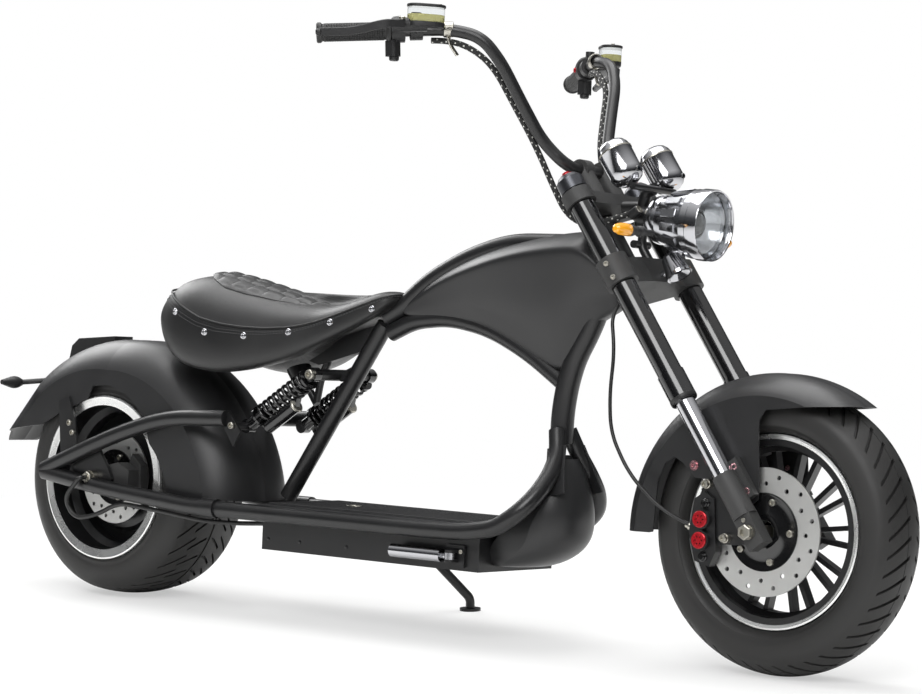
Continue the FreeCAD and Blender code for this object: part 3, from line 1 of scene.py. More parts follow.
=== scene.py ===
import bmesh
import bpy
import json
import math
from mathutils import Matrix, Vector


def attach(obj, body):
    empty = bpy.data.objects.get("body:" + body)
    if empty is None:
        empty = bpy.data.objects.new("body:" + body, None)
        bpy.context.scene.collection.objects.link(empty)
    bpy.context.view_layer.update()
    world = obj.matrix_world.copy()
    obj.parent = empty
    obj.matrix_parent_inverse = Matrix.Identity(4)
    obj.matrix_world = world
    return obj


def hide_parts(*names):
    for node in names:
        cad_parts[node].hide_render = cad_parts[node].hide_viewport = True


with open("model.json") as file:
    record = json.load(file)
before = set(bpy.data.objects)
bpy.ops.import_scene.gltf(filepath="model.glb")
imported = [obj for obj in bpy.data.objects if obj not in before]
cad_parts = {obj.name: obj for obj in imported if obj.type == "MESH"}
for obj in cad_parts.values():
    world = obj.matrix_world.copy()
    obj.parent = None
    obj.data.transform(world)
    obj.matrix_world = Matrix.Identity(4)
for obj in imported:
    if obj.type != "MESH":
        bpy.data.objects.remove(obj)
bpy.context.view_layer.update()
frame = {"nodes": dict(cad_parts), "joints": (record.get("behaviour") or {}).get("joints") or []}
nodes = frame["nodes"]
joints = {joint["name"]: joint for joint in frame["joints"]}
print("frame loaded:", len(nodes), "parts")


# Stance: pieces are modelled upright, in metres, and then leaned or steered

stance = {
    "lean": math.radians(3.9),  # onto the side stand
    "steerRest": math.radians(1.9),  # bars turned a little to the left
    "rake": math.radians(35.3),
    "forkOffset": 0.040,  # legs ahead of the steering axis
    "drawnAxle": (1585, 248.2),  # the front axle ahead of and above the rear tyre's contact, in mm
}
upward = Vector((0, 0, 1))
forward = Vector((1, 0, 0))
across = Vector((0, 1, 0))
rightward = -across
legUp = Vector((-math.sin(stance["rake"]), 0, math.cos(stance["rake"])))
legFront = Vector((math.cos(stance["rake"]), 0, math.sin(stance["rake"])))
rearAxleRow = Vector(joints["rear_wheel"]["pos_m"])
rearAxle = Vector((0, 0, rearAxleRow.z / math.cos(stance["lean"])))
contactY = rearAxle.z * math.sin(stance["lean"]) - rearAxleRow.y
leaned = Matrix.Translation((0, -contactY, 0)) @ Matrix.Rotation(-stance["lean"], 4, "X")
steerRoot = leaned.inverted() @ Vector(joints["steering"]["pos_m"])
frontAxle = steerRoot + legFront * stance["forkOffset"]
steered = (leaned @ Matrix.Translation(steerRoot)
           @ Matrix.Rotation(stance["steerRest"], 4, legUp) @ Matrix.Translation(-steerRoot))
places = {"frame": leaned, "rear_wheel": leaned, "steering": steered, "front_wheel": steered}
print("front axle at", [round(c, 4) for c in frontAxle])


def bike(x, y, z):
    # a place in mm ahead of the rear tyre's contact, to the left and up
    return Vector((x, y, z)) / 1000


def fork(up, side=0.0, ahead=0.0):
    # a place in mm up the fork leg from the axle, to the left, ahead of the legs
    return frontAxle + (legUp * up + across * side + legFront * ahead) / 1000


def fromAxle(x, y, z):
    # a place in mm from the front axle, on the fork
    return frontAxle + bike(x, y, z)


def steerPoint(x, y, z):
    # a place in mm read as bike() has it, kept on the fork
    axleX, axleZ = stance["drawnAxle"]
    return fromAxle(x - axleX, y, z - axleZ)


# Materials

def linear(hexColour):
    # sRGB hex to linear RGB
    channels = [int(hexColour[i:i + 2], 16) / 255 for i in (1, 3, 5)]
    return [c / 12.92 if c <= 0.04045 else ((c + 0.055) / 1.055) ** 2.4 for c in channels] + [1.0]


def addNode(tree, kind, settings=None, links=None):
    # one node with its own settings, socket values and incoming links
    node = tree.nodes.new(kind)
    for key, value in (settings or {}).items():
        if isinstance(key, int) or key in node.inputs:
            node.inputs[key].default_value = value
        else:
            setattr(node, key, value)
    for socket, source in (links or {}).items():
        tree.links.new(source, node.inputs[socket])
    return node


finishBase = {
    "patchMm": 90,  # size of the patches in tone and gloss
    "patchBand": (0.3, 0.7),  # the noise that spans the roughness
    "bumpMm": 1.0, "metallic": 0.0, "coat": 0.0, "coatRoughness": 0.08, "clear": 0.0,
}


def finish(colour, shade, roughness, grainMm, grain, **more):
    # sRGB hex of the tone and its patches, roughness from and to, the grain's size in mm and strength
    return {**finishBase, "colour": colour, "shade": shade, "roughness": roughness, "grainMm": grainMm,
            "grain": grain, **more}


def surface(name, spec):
    # a finish with drifting tone, patchy gloss and a fine grain, all from real millimetres
    material = bpy.data.materials.new(name)
    material.use_nodes = True
    tree = material.node_tree
    tree.nodes.clear()
    where = addNode(tree, "ShaderNodeTexCoord").outputs["Object"]
    patches = addNode(tree, "ShaderNodeTexNoise", {"Scale": 1000 / spec["patchMm"], "Detail": 4.0},
                      {"Vector": where}).outputs["Fac"]
    tone = addNode(tree, "ShaderNodeMix",
                   {"data_type": "RGBA", 6: linear(spec["colour"]), 7: linear(spec["shade"])},
                   {"Factor": patches})
    gloss = addNode(tree, "ShaderNodeMapRange",
                    {"From Min": spec["patchBand"][0], "From Max": spec["patchBand"][1],
                     "To Min": spec["roughness"][0], "To Max": spec["roughness"][1]}, {"Value": patches})
    grain = addNode(tree, "ShaderNodeTexNoise", {"Scale": 1000 / spec["grainMm"], "Detail": 3.0},
                    {"Vector": where})
    bump = addNode(tree, "ShaderNodeBump", {"Strength": spec["grain"], "Distance": spec["bumpMm"] / 1000},
                   {"Height": grain.outputs["Fac"]})
    shader = addNode(tree, "ShaderNodeBsdfPrincipled",
                     {"Metallic": spec["metallic"], "Coat Weight": spec["coat"],
                      "Coat Roughness": spec["coatRoughness"], "Transmission Weight": spec["clear"]},
                     {"Base Color": tone.outputs[2], "Roughness": gloss.outputs["Result"],
                      "Normal": bump.outputs["Normal"]})
    addNode(tree, "ShaderNodeOutputMaterial", {}, {"Surface": shader.outputs["BSDF"]})
    return material


finishes = {
    # powder coat on steel tube: even satin black with a faint orange peel
    "satinPowderCoat": finish("#151516", "#1e1e1f", (0.3, 0.4), 2.5, 0.04),
    # sprayed and lacquered steel: deep black, clear reflections
    "glossBlackPaint": finish("#0b0b0c", "#121213", (0.1, 0.18), 6, 0.02, coat=0.6),
    # matt paint on pressed sheet: soft broad highlights, slight dust
    "mattFenderPaint": finish("#1b1b1c", "#242425", (0.34, 0.42), 1.0, 0.05),
    # sand cast iron under thin paint: coarse pits, greyer
    "sandCastPaint": finish("#262626", "#3a3a3a", (0.48, 0.62), 1.8, 0.5),
    # polished chrome plate: mirror with faint polishing marks
    "chromePlate": finish("#c4c4c7", "#acadb1", (0.1, 0.17), 9, 0.01, metallic=1.0),
    # turned and polished aluminium rim lip: bright with fine lathe grain
    "machinedAluminium": finish("#efefee", "#e2e3e2", (0.22, 0.32), 0.8, 0.05, metallic=0.9),
    # ground stainless disc: pale, with a dry grain
    "groundStainless": finish("#dcdcda", "#c4c4c2", (0.3, 0.42), 0.7, 0.12, metallic=0.9),
    # zinc plated fasteners: pale grey with a slight yellow
    "zincPlate": finish("#c2bfb6", "#a8a59b", (0.26, 0.38), 1.2, 0.08, metallic=1.0),
    # black casting of the wheels: satin, fine texture
    "castWheelPaint": finish("#141415", "#1d1d1e", (0.28, 0.38), 1.4, 0.12),
    # carbon black tyre rubber: dry, slightly brown where dusty
    "tyreRubber": finish("#1a1a1a", "#262524", (0.45, 0.6), 1.1, 0.22),
    # moulded grip rubber: dull, with a fine tooth
    "gripRubber": finish("#1a1a1a", "#242424", (0.5, 0.62), 0.8, 0.15),
    # ribbed floor mat rubber: greyer where shoes have rubbed
    "matRubber": finish("#1f1f20", "#2f2f30", (0.45, 0.6), 1.2, 0.2),
    # embossed vinyl of the saddle: leather-like grain of about a millimetre
    "saddleVinyl": finish("#19191a", "#242424", (0.34, 0.46), 1.1, 0.3),
    # waxed thread of the saddle seams: a shade paler than the vinyl
    "seamThread": finish("#3c3c3d", "#4a4a4b", (0.5, 0.6), 0.6, 0.2),
    # grained ABS of the switch blocks, lids and lamp housings: dull black
    "grainedAbs": finish("#161617", "#1f1f20", (0.38, 0.5), 0.7, 0.22),
    # amber acrylic, dyed through: glossy orange
    "amberAcrylic": finish("#e8960f", "#f7b02a", (0.1, 0.16), 4, 0.05, coat=0.5),
    # red acrylic lamp lens: glossy and dark
    "redAcrylic": finish("#8f1010", "#6e0a0a", (0.1, 0.16), 4, 0.05, coat=0.5),
    # red anodised aluminium caps: half metal, half dye
    "redAnodised": finish("#c01f2a", "#9a1620", (0.2, 0.3), 1.5, 0.06, metallic=0.5),
    # pale red anodised bolts of the front fender: a metal with a rose tint
    "roseAnodised": finish("#c9a0a4", "#a87a80", (0.2, 0.3), 1.5, 0.05, metallic=0.9),
    # grey anodised fork caps: dark satin metal
    "greyAnodised": finish("#55565a", "#47484c", (0.26, 0.34), 1.0, 0.05, metallic=0.9),
    # brake fluid behind a clear cup: pale straw
    "brakeFluid": finish("#d8d49a", "#c8c27c", (0.1, 0.16), 5, 0.02),
    # clear moulded polycarbonate: see-through, almost a mirror at a slant
    "clearPolycarbonate": finish("#f2f5f6", "#f2f5f6", (0.02, 0.05), 8, 0.01, clear=1.0),
    # smoked glass over the gauge faces and the projector: black mirror
    "smokedGlass": finish("#0b0d10", "#101418", (0.04, 0.07), 12, 0.01, coat=0.8),
    # EPDM hose and cable jacket: satin black
    "hoseRubber": finish("#161616", "#1f1f1f", (0.38, 0.48), 1.0, 0.1),
    # polyester braid of the cable sleeves, black yarn with a pale tracer: fuzzy and dull
    "blackYarn": finish("#131313", "#1c1c1c", (0.6, 0.72), 0.6, 0.4),
    "paleYarn": finish("#c9c9c4", "#b4b4ae", (0.6, 0.72), 0.6, 0.4),
}
made = {name: surface(name, spec) for name, spec in finishes.items()}

nodeFinish = {
    "glossBlackPaint": ["fork_tubes", "shock_springs", "shock_absorbers"],
    "satinPowderCoat": ["backbone", "down_tube", "tank_tube", "deck_rails", "seat_tube", "swingarm",
                        "handlebar", "lamp_bracket", "peg_brackets", "stand_bracket", "side_stand",
                        "seat_mount", "fender_brackets", "battery_box"],
    "mattFenderPaint": ["tank_shell", "front_fender", "rear_fender", "chin_cover"],
    "sandCastPaint": ["lower_clamp", "upper_clamp", "axle_lugs", "rear_caliper"],
    "chromePlate": ["fork_sliders", "headlight_shell", "gauge_pods", "horn", "foot_peg_right",
                    "foot_peg_left"],
    "groundStainless": ["front_disc", "rear_disc"],
    "zincPlate": ["front_axle", "rear_axle"],
    "castWheelPaint": ["front_rim", "rear_rim", "front_caliper"],
    "matRubber": ["deck_board"],
    "grainedAbs": ["bar_controls", "battery_pack", "tail_light", "rear_signals", "front_signals"],
    "greyAnodised": ["fork_caps"],
    "hoseRubber": ["brake_hose", "motor_lead"],
}
for finishName, members in nodeFinish.items():
    for member in members:
        mesh = nodes[member].data
        mesh.materials.clear()
        mesh.materials.append(made[finishName])
print("materials:", len(made))


# Small modelling helpers, with profiles and sections in mm and places in metres

def sideHint(direction):
    return upward if abs(direction.normalized().z) < 0.9 else forward


def aimed(origin, direction, hint=upward):
    # local Y along direction, local Z as near the hint as can be
    along = direction.normalized()
    side = along.cross(hint).normalized()
    turn = Matrix((side, along, side.cross(along))).transposed().to_4x4()
    turn.translation = origin
    return turn


def tinted(mesh, tint):
    # outward faces, all in one of the piece's finishes
    bmesh.ops.recalc_face_normals(mesh, faces=mesh.faces)
    for face in mesh.faces:
        face.material_index = tint
    return mesh


def spun(profile, steps=64, place=None, closed=False, tint=0):
    # (along the axis, out from it) turned about local Y
    mesh = bmesh.new()
    corners = [mesh.verts.new((0, along / 1000, out / 1000)) for along, out in profile]
    pairs = list(zip(corners, corners[1:])) + ([(corners[-1], corners[0])] if closed else [])
    edges = [mesh.edges.new(pair) for pair in pairs]
    bmesh.ops.spin(mesh, geom=corners + edges, cent=(0, 0, 0), axis=(0, 1, 0), dvec=(0, 0, 0),
                   angle=2 * math.pi, steps=steps, use_merge=True)
    bmesh.ops.remove_doubles(mesh, verts=mesh.verts, dist=1e-6)
    tinted(mesh, tint)
    if place:
        mesh.transform(place)
    return mesh


def rod(start, end, radius, soft=0.8, steps=24, tint=0):
    # a round bar with softened ends
    long = (end - start).length * 1000
    return spun([(0, 0), (0, radius - soft), (soft, radius), (long - soft, radius), (long, radius - soft),
                 (long, 0)], steps, aimed(start, end - start, sideHint(end - start)), tint=tint)


def capScrew(at, direction, radius, high, tint=0):
    # a socket head cap screw
    return spun([(0, 0), (0, radius), (high * 0.8, radius), (high, radius * 0.86), (high, radius * 0.52),
                 (high * 0.4, radius * 0.46), (high * 0.4, 0)], 16,
                aimed(at, direction, sideHint(direction)), tint=tint)


def joined(parts):
    whole = bmesh.new()
    for part in parts:
        holder = bpy.data.meshes.new("joining")
        part.to_mesh(holder)
        part.free()
        whole.from_mesh(holder)
        bpy.data.meshes.remove(holder)
    return whole


def bothSides(part):
    # the part and its mirrored copy on the other side of the mid-plane
    twin = part.copy()
    bmesh.ops.scale(twin, vec=(1, -1, 1), verts=twin.verts)
    bmesh.ops.reverse_faces(twin, faces=twin.faces)
    return joined([twin, part])


def addPiece(name, mesh, body, finishNames, hides=(), sharp=30):
    # stands a mesh where its body is and lets it ride there
    mesh.transform(places[body])
    data = bpy.data.meshes.new(name)
    mesh.to_mesh(data)
    mesh.free()
    for finishName in finishNames:
        data.materials.append(made[finishName])
    data.shade_smooth()
    data.set_sharp_from_angle(angle=math.radians(sharp))
    piece = bpy.data.objects.new(name, data)
    bpy.context.scene.collection.objects.link(piece)
    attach(piece, body)
    if hides:
        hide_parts(*hides)
    return piece


def rounded(piece, levels=2):
    subdivision = piece.modifiers.new("rounded", "SUBSURF")
    subdivision.levels = levels
    subdivision.render_levels = levels


def newOf(kind, geometry):
    return [item for item in geometry if isinstance(item, kind)]


def lofted(rings, tint=0):
    # closed loops of the same count, each extruded from the last, with both ends capped
    mesh = bmesh.new()
    cap = mesh.faces.new([mesh.verts.new(p) for p in rings[0]])
    current = list(cap.verts)
    for step, ring in enumerate(rings[1:]):
        grown = bmesh.ops.extrude_face_region(mesh, geom=[cap])["geom"]
        if step:
            bmesh.ops.delete(mesh, geom=[cap], context="FACES_ONLY")
        cap = newOf(bmesh.types.BMFace, grown)[0]
        fresh = {tuple(round(c, 7) for c in vert.co): vert for vert in newOf(bmesh.types.BMVert, grown)}
        current = [fresh[tuple(round(c, 7) for c in vert.co)] for vert in current]
        for vert, point in zip(current, ring):
            vert.co = point
    return tinted(mesh, tint)


def smoothRoute(points, resolution=8):
    # the line of a held cable, as its NURBS spline gives it
    curve = bpy.data.curves.new("route", "CURVE")
    curve.dimensions = "3D"
    spline = curve.splines.new("NURBS")
    spline.points.add(len(points) - 1)
    for control, point in zip(spline.points, points):
        control.co = (*point, 1)
    spline.order_u = 3
    spline.use_endpoint_u = True
    spline.resolution_u = resolution
    holder = bpy.data.objects.new("route", curve)
    line = bpy.data.meshes.new_from_object(holder)
    route = [vert.co.copy() for vert in line.vertices]
    bpy.data.objects.remove(holder)
    return route


def evenRoute(route, gap):
    # the same line with points about gap metres apart
    lengths = [0]
    for a, b in zip(route, route[1:]):
        lengths.append(lengths[-1] + (b - a).length)
    count = max(2, round(lengths[-1] / gap))
    even, leg = [], 0
    for i in range(count + 1):
        want = lengths[-1] * i / count
        while leg < len(route) - 2 and lengths[leg + 1] < want:
            leg += 1
        share = (want - lengths[leg]) / max(lengths[leg + 1] - lengths[leg], 1e-9)
        even.append(route[leg].lerp(route[leg + 1], min(share, 1)))
    return even


def swept(route, section, tint=0):
    # a section of (sideways, up) points drawn along a route without twisting
    rings, side = [], None
    for i, point in enumerate(route):
        ahead = (route[min(i + 1, len(route) - 1)] - route[max(i - 1, 0)]).normalized()
        side = (ahead.cross(sideHint(ahead)) if side is None else side - ahead * side.dot(ahead)).normalized()
        up = side.cross(ahead)
        rings.append([point + (side * u + up * v) / 1000 for u, v in section])
    return lofted(rings, tint)


def circle(radius, count):
    turns = [2 * math.pi * i / count for i in range(count)]
    return [(radius * math.cos(turn), radius * math.sin(turn)) for turn in turns]


def roundedBox(wide, high, corner):
    # the outline of a bar with softened corners
    points = []
    for sx, sz, start in ((1, 1, 0), (-1, 1, 90), (-1, -1, 180), (1, -1, 270)):
        for turn in (15, 75):
            angle = math.radians(start + turn)
            points.append((sx * (wide / 2 - corner) + corner * math.cos(angle),
                           sz * (high / 2 - corner) + corner * math.sin(angle)))
    return points


# Tyres: a spun carcass whose columns are slid along the grooves, then the grooves are pressed in

frontTyre = {
    "radius": 248, "crown": 72,  # of the tyre, and of its crown across
    "blocks": 46, "split": (0.23, 0.26, 0.25, 0.26),  # blocks round, and the columns' share of a block
    "slant": 0.2, "curl": 1.4, "band": 26,  # how far grooves lean, how they curve, how far down they reach
    "side": [(38.7, 153), (38.9, 168), (44, 169.6), (52, 173), (58.5, 179), (60.2, 181.5), (61.6, 181.2),
             (63.3, 187), (64, 193), (63.4, 200), (62, 210), (59.5, 217), (54.8, 223)],
    "rows": [50, 45, 40, 34, 28, 22, 16.6, 15.4, 9, 3],
    "grooves": [(10, 51, 0)],  # from and to across, and their column
    "rings": [(15.4, 16.6, 0.8)], "depth": 5.5,  # from and to across, and the ring's own depth
}
rearTyre = {
    "radius": 240, "crown": 300, "blocks": 34, "split": (0.15, 0.35, 0.15, 0.35), "slant": 0.3, "curl": 1.4,
    "band": 26,
    "side": [(95.7, 153), (95.9, 168), (98.0, 171), (98.6, 175), (97.9, 176.5), (98.9, 182), (99, 189.4),
             (98.2, 198), (96, 206), (92, 213.5), (86, 221.5), (79.5, 228.4)],
    "rows": [74, 67, 60, 52, 44, 36, 28, 20, 13, 7, 2.5],
    "grooves": [(6, 46, 0), (38, 78, 2)],
    "rings": [(0, 2.5, 2.0)], "depth": 6,
}


def treadTyre(name, spec, centre, body, hides):
    arc = spec["crown"]
    crown = [(y, spec["radius"] - arc + math.sqrt(arc ** 2 - y * y)) for y in spec["rows"]]
    half = spec["side"] + crown
    profile = half + [(-y, r) for y, r in reversed(half)]
    columns, blocks = len(spec["split"]), spec["blocks"]
    mesh = spun(profile, columns * blocks, closed=True)
    starts = [sum(spec["split"][:i]) for i in range(columns)]
    step, blockTurn = 2 * math.pi / (columns * blocks), 2 * math.pi / blocks
    widest = spec["side"][-1][0]

    def slide(y):
        # how far the columns lean back at this distance from the middle
        return spec["slant"] * min(abs(y) * 1000 / widest, 1) ** spec["curl"]

    for vert in mesh.verts:
        out = math.hypot(vert.co.x, vert.co.z)
        place = round(math.atan2(vert.co.x, vert.co.z) / step) % (columns * blocks)
        angle = (place // columns + starts[place % columns]) * blockTurn + slide(vert.co.y)
        vert.co.x, vert.co.z = out * math.sin(angle), out * math.cos(angle)
    pressed = {}
    for face in mesh.faces:
        spot = face.calc_center_median()
        y, out = abs(spot.y) * 1000, math.hypot(spot.x, spot.z) * 1000
        if out < spec["radius"] - spec["band"]:
            continue
        phase = ((math.atan2(spot.x, spot.z) - slide(spot.y)) / blockTurn) % 1
        column = max(i for i in range(columns) if starts[i] <= phase + 1e-6)
        if any(low <= y <= high and column == groove for low, high, groove in spec["grooves"]):
            pressed.setdefault(spec["depth"], []).append(face)
            continue
        for low, high, depth in spec["rings"]:
            if low <= y <= high:
                pressed.setdefault(depth, []).append(face)
    for depth, faces in pressed.items():
        grown = bmesh.ops.extrude_face_region(mesh, geom=faces)["geom"]
        for vert in newOf(bmesh.types.BMVert, grown):
            out = math.hypot(vert.co.x, vert.co.z)
            vert.co.x *= (out - depth / 1000) / out
            vert.co.z *= (out - depth / 1000) / out
        bmesh.ops.delete(mesh, geom=faces, context="FACES")
    bmesh.ops.recalc_face_normals(mesh, faces=mesh.faces)
    mesh.transform(Matrix.Translation(centre))
    addPiece(name, mesh, body, ["tyreRubber"], hides, sharp=38)


treadTyre("frontTyreTread", frontTyre, frontAxle, "front_wheel", ["front_tyre"])
treadTyre("rearTyreTread", rearTyre, rearAxle, "rear_wheel", ["rear_tyre"])
print("tyres done")


# Bright rim lips over the flanges

rimLips = {
    "front": {"half": 44, "inner": 158.5, "outer": 167.2},
    "rear": {"half": 101, "inner": 147.6, "outer": 167.2},
}


def rimLip(name, spec, centre, body):
    half, inner, outer = spec["half"], spec["inner"], spec["outer"]
    profile = [(half + 0.1, inner), (half + 0.9, inner + 0.3), (half + 1.6, inner + 2.5),
               (half + 1.2, outer - 6), (half + 2.2, outer - 3), (half + 1.4, outer),
               (half - 3, outer + 0.5), (half - 4.6, outer + 0.3), (half - 4.6, outer - 0.2),
               (half + 0.1, outer - 0.2)]
    sides = [[(-y, r) for y, r in profile], profile]
    lips = [spun(side, 128, Matrix.Translation(centre), closed=True) for side in sides]
    addPiece(name, joined(lips), body, ["machinedAluminium"])


rimLip("frontRimLip", rimLips["front"], frontAxle, "front_wheel")
rimLip("rearRimLip", rimLips["rear"], rearAxle, "rear_wheel")

# Disc carriers with their bolts, black over the ground rings

discCarriers = {
    "front": {"face": -73.5, "outer": 67},
    "rear": {"face": -66.3, "outer": 57},
    "bolts": 5, "boltTurn": 0.3, "boltIn": 14,
}


def discCarrier(name, spec, centre, body):
    face, outer = spec["face"], spec["outer"]
    parts = [spun([(face - 0.1, 21), (face - 2.4, 21.5), (face - 2.8, 24), (face - 2.4, 34), (face - 1.4, 36),
                   (face - 1.4, outer - 6), (face - 1.9, outer - 4), (face - 1.9, outer),
                   (face - 0.1, outer + 0.4)], 60, Matrix.Translation(centre), closed=True)]
    ring = outer - discCarriers["boltIn"]
    for i in range(discCarriers["bolts"]):
        turn = 2 * math.pi * i / discCarriers["bolts"] + discCarriers["boltTurn"]
        spot = centre + bike(math.sin(turn) * ring, face - 1.3, math.cos(turn) * ring)
        parts.append(capScrew(spot, rightward, 6, 4, tint=1))
    addPiece(name, joined(parts), body, ["glossBlackPaint", "zincPlate"])


discCarrier("frontDiscCarrier", discCarriers["front"], frontAxle, "front_wheel")
discCarrier("rearDiscCarrier", discCarriers["rear"], rearAxle, "rear_wheel")
print("wheels done")


# Saddle: a lofted shell with a crowned top, piping, sewn seams, quilting and studs

saddle = {
    "rows": [  # x, half width at the skirt, lower edge, piping height, crown height
        (100, 40, 556, 634, 646), (146, 105, 522, 630, 665), (181, 128, 500, 624, 671),
        (240, 143, 476, 596, 667), (290, 145, 468, 575, 659), (345, 144, 466, 564, 647),
        (400, 136, 474, 559, 635), (450, 120, 486, 558, 623), (500, 101, 504, 562, 612),
        (545, 86, 526, 573, 609), (590, 74, 549, 589, 619), (640, 60, 575, 609, 634),
        (680, 50, 600, 624, 645), (708, 40, 622, 634, 648)],
    # tail, nose, where the tail's round ends, share of the skirt's width, and height, which is 0 at the
    # lower edge, 1 at the piping and 2 at the crown
    "levels": [
        (196, 660, 290, 0.40, 0.10), (150, 692, 262, 0.80, 0.0), (128, 702, 255, 0.93, 0.06),
        (112, 707, 250, 0.985, 0.22), (104, 708, 247, 1.0, 0.45), (108, 708, 250, 1.0, 0.62),
        (124, 707, 258, 0.985, 0.86), (140, 706, 262, 0.955, 0.99), (143, 705, 263, 0.935, 1.03),
        (150, 702, 266, 0.87, 1.28), (164, 696, 275, 0.74, 1.56), (196, 682, 290, 0.52, 1.83),
        (236, 655, 310, 0.28, 1.96), (270, 620, 330, 0.10, 2.0)],
    "piping": (139, 706.5, 262, 0.962, 1.0), "pipingRad": 2.3,
    "seams": [(131, 707.5, 260, 0.983, 0.91), (126, 707.8, 259, 0.994, 0.85)],
    "stitchGap": 6.2, "stitch": 3.8, "threadRad": 0.6, "noseRound": 30,
    # share of the half width, and height as above
    "crown": [(0, 2.0), (0.1, 2.0), (0.28, 1.96), (0.52, 1.83), (0.74, 1.56), (0.87, 1.28), (0.94, 1.03)],
    "studs": [(228, 585), (315, 547), (410, 543), (499, 554), (583, 576), (668, 605)],
}


def readRow(table, x):
    # the table's values at x, straight between its rows
    low = max((i for i in range(len(table) - 1) if table[i][0] <= x), default=0)
    a, b = table[low], table[low + 1]
    share = min(max((x - a[0]) / (b[0] - a[0]), 0), 1)
    return [p + (q - p) * share for p, q in zip(a[1:], b[1:])]


def saddleHigh(x, height):
    lower, piping, crown = readRow(saddle["rows"], x)[1:]
    return lower + (piping - lower) * height if height < 1 else piping + (crown - piping) * (height - 1)


def saddleLoop(level, count=22):
    # one closed loop of the saddle, from its tail along the right side to the nose and back
    tail, nose, roundEnd, share, height = level
    noseRound = saddle["noseRound"]
    right = []
    for i in range(count + 1):
        x = tail + (nose - tail) * (1 - math.cos(math.pi * i / count)) / 2
        half = readRow(saddle["rows"], max(x, roundEnd))[0] * share
        if x < roundEnd:
            half *= math.sqrt(max(1 - ((roundEnd - x) / (roundEnd - tail)) ** 2, 0))
        if x > nose - noseRound:
            half *= max(1 - ((x - nose + noseRound) / noseRound) ** 4, 0) ** 0.5
        right.append(bike(x, -half, saddleHigh(x, height)))
    return right + [Vector((p.x, -p.y, p.z)) for p in reversed(right[1:-1])]


def saddleTop(x, y):
    # the crown's height over the panel
    half = readRow(saddle["rows"], x)[0]
    return saddleHigh(x, readRow(saddle["crown"], abs(y) / half)[0])


def stitches(level):
    # short raised threads round one level of the skirt
    loop = saddleLoop(level, 60)
    run = evenRoute(loop + [loop[0]], saddle["stitchGap"] / 1000)
    threads = []
    for a, b in zip(run, run[1:]):
        middle, reach = (a + b) / 2, (b - a).normalized() * saddle["stitch"] / 2000
        threads.append(swept([middle - reach, middle + reach], circle(saddle["threadRad"], 6)))
    return threads


seatPiece = addPiece("saddleCushion", lofted([saddleLoop(level) for level in saddle["levels"]]), "frame",
                     ["saddleVinyl"], ["seat"], sharp=180)
rounded(seatPiece)
pipingRun = [p + upward * 0.0012 for p in saddleLoop(saddle["piping"], 40)]
pipingRun.append(pipingRun[0])
addPiece("saddlePiping", swept(pipingRun, circle(saddle["pipingRad"], 8)), "frame", ["saddleVinyl"])
seams = [thread for seam in saddle["seams"] for thread in stitches(seam)]
addPiece("saddleStitching", joined(seams), "frame", ["seamThread"])

quilting = {
    "panel": [  # x and half width
        (222, 18), (232, 40), (250, 58), (272, 70), (305, 82), (360, 80), (420, 68), (470, 52), (515, 34),
        (540, 12)],
    "tuft": 33, "stretch": 1.25, "firstRow": 38,  # a tuft's width, its length in widths, where rows start
    "puff": 5.0, "proud": 1.2, "sunk": 0.6, "skirt": 5,
}
quilt = bmesh.new()
bmesh.ops.create_grid(quilt, x_segments=96, y_segments=64, size=0.5)
first, last = quilting["panel"][0][0], quilting["panel"][-1][0]
for vert in quilt.verts:
    x = first + (vert.co.x + 0.5) * (last - first)
    y = vert.co.y * 2 * readRow(quilting["panel"], x)[0]
    row = (y + quilting["firstRow"]) / quilting["tuft"]
    u = ((x / quilting["tuft"] / quilting["stretch"] + 0.5 * (math.floor(row) % 2)) % 1) * 2 - 1
    v = (row % 1) * 2 - 1
    tuft = (1 - abs(u) ** 4) * (1 - abs(v) ** 4)
    edge = min(1, (0.5 - abs(vert.co.x)) * 14, (0.5 - abs(vert.co.y)) * 10)
    lift = edge * (quilting["proud"] + quilting["puff"] * tuft) - quilting["sunk"]
    vert.co = bike(x, y, saddleTop(x, y) + lift)
skirt = bmesh.ops.extrude_edge_only(quilt, edges=[edge for edge in quilt.edges if edge.is_boundary])["geom"]
for vert in newOf(bmesh.types.BMVert, skirt):
    vert.co.z -= quilting["skirt"] / 1000
bmesh.ops.holes_fill(quilt, edges=[edge for edge in quilt.edges if edge.is_boundary])
bmesh.ops.recalc_face_normals(quilt, faces=quilt.faces)
addPiece("saddleQuilting", quilt, "frame", ["saddleVinyl"], sharp=50)

studProfile = [(-2, 0), (-2, 6.6), (0.6, 7), (1.8, 6), (2.2, 4.6), (1.6, 3.8), (2.9, 2.4), (3.3, 0)]
studs = []
for x, z in saddle["studs"]:
    half = readRow(saddle["rows"], x)[0]
    outward = Vector((-0.12 if x < 300 else 0.22, -1, 0.02))
    studs.append(bothSides(spun(studProfile, 20, aimed(bike(x, -half, z), outward))))
addPiece("saddleStuds", joined(studs), "frame", ["chromePlate"])
print("saddle done")


# Tank skin: pressed sheet with a shoulder that widens forward and flanks that fall in below it

tank = {
    "rows": [  # x, top, foot, shoulder half width and height, flank half width and height
        (702, 614, 600, 13, 608, 12, 603), (733, 636, 589, 17, 616, 15, 600),
        (790, 671, 592, 25, 648, 20, 616), (850, 700, 590, 38, 668, 27, 624),
        (915, 723, 578, 53, 685, 36, 622), (975, 738, 553, 62, 700, 43, 616),
        (1040, 750, 523, 66, 712, 47, 606), (1105, 758, 494, 67, 719, 48, 596),
        (1135, 760, 546, 66, 720, 48, 622), (1160, 761, 590, 64, 719, 47, 644),
        (1195, 733, 607, 59, 700, 44, 648), (1235, 672, 628, 38, 658, 30, 642)],
    "edge": 14, "foot": 16,
}


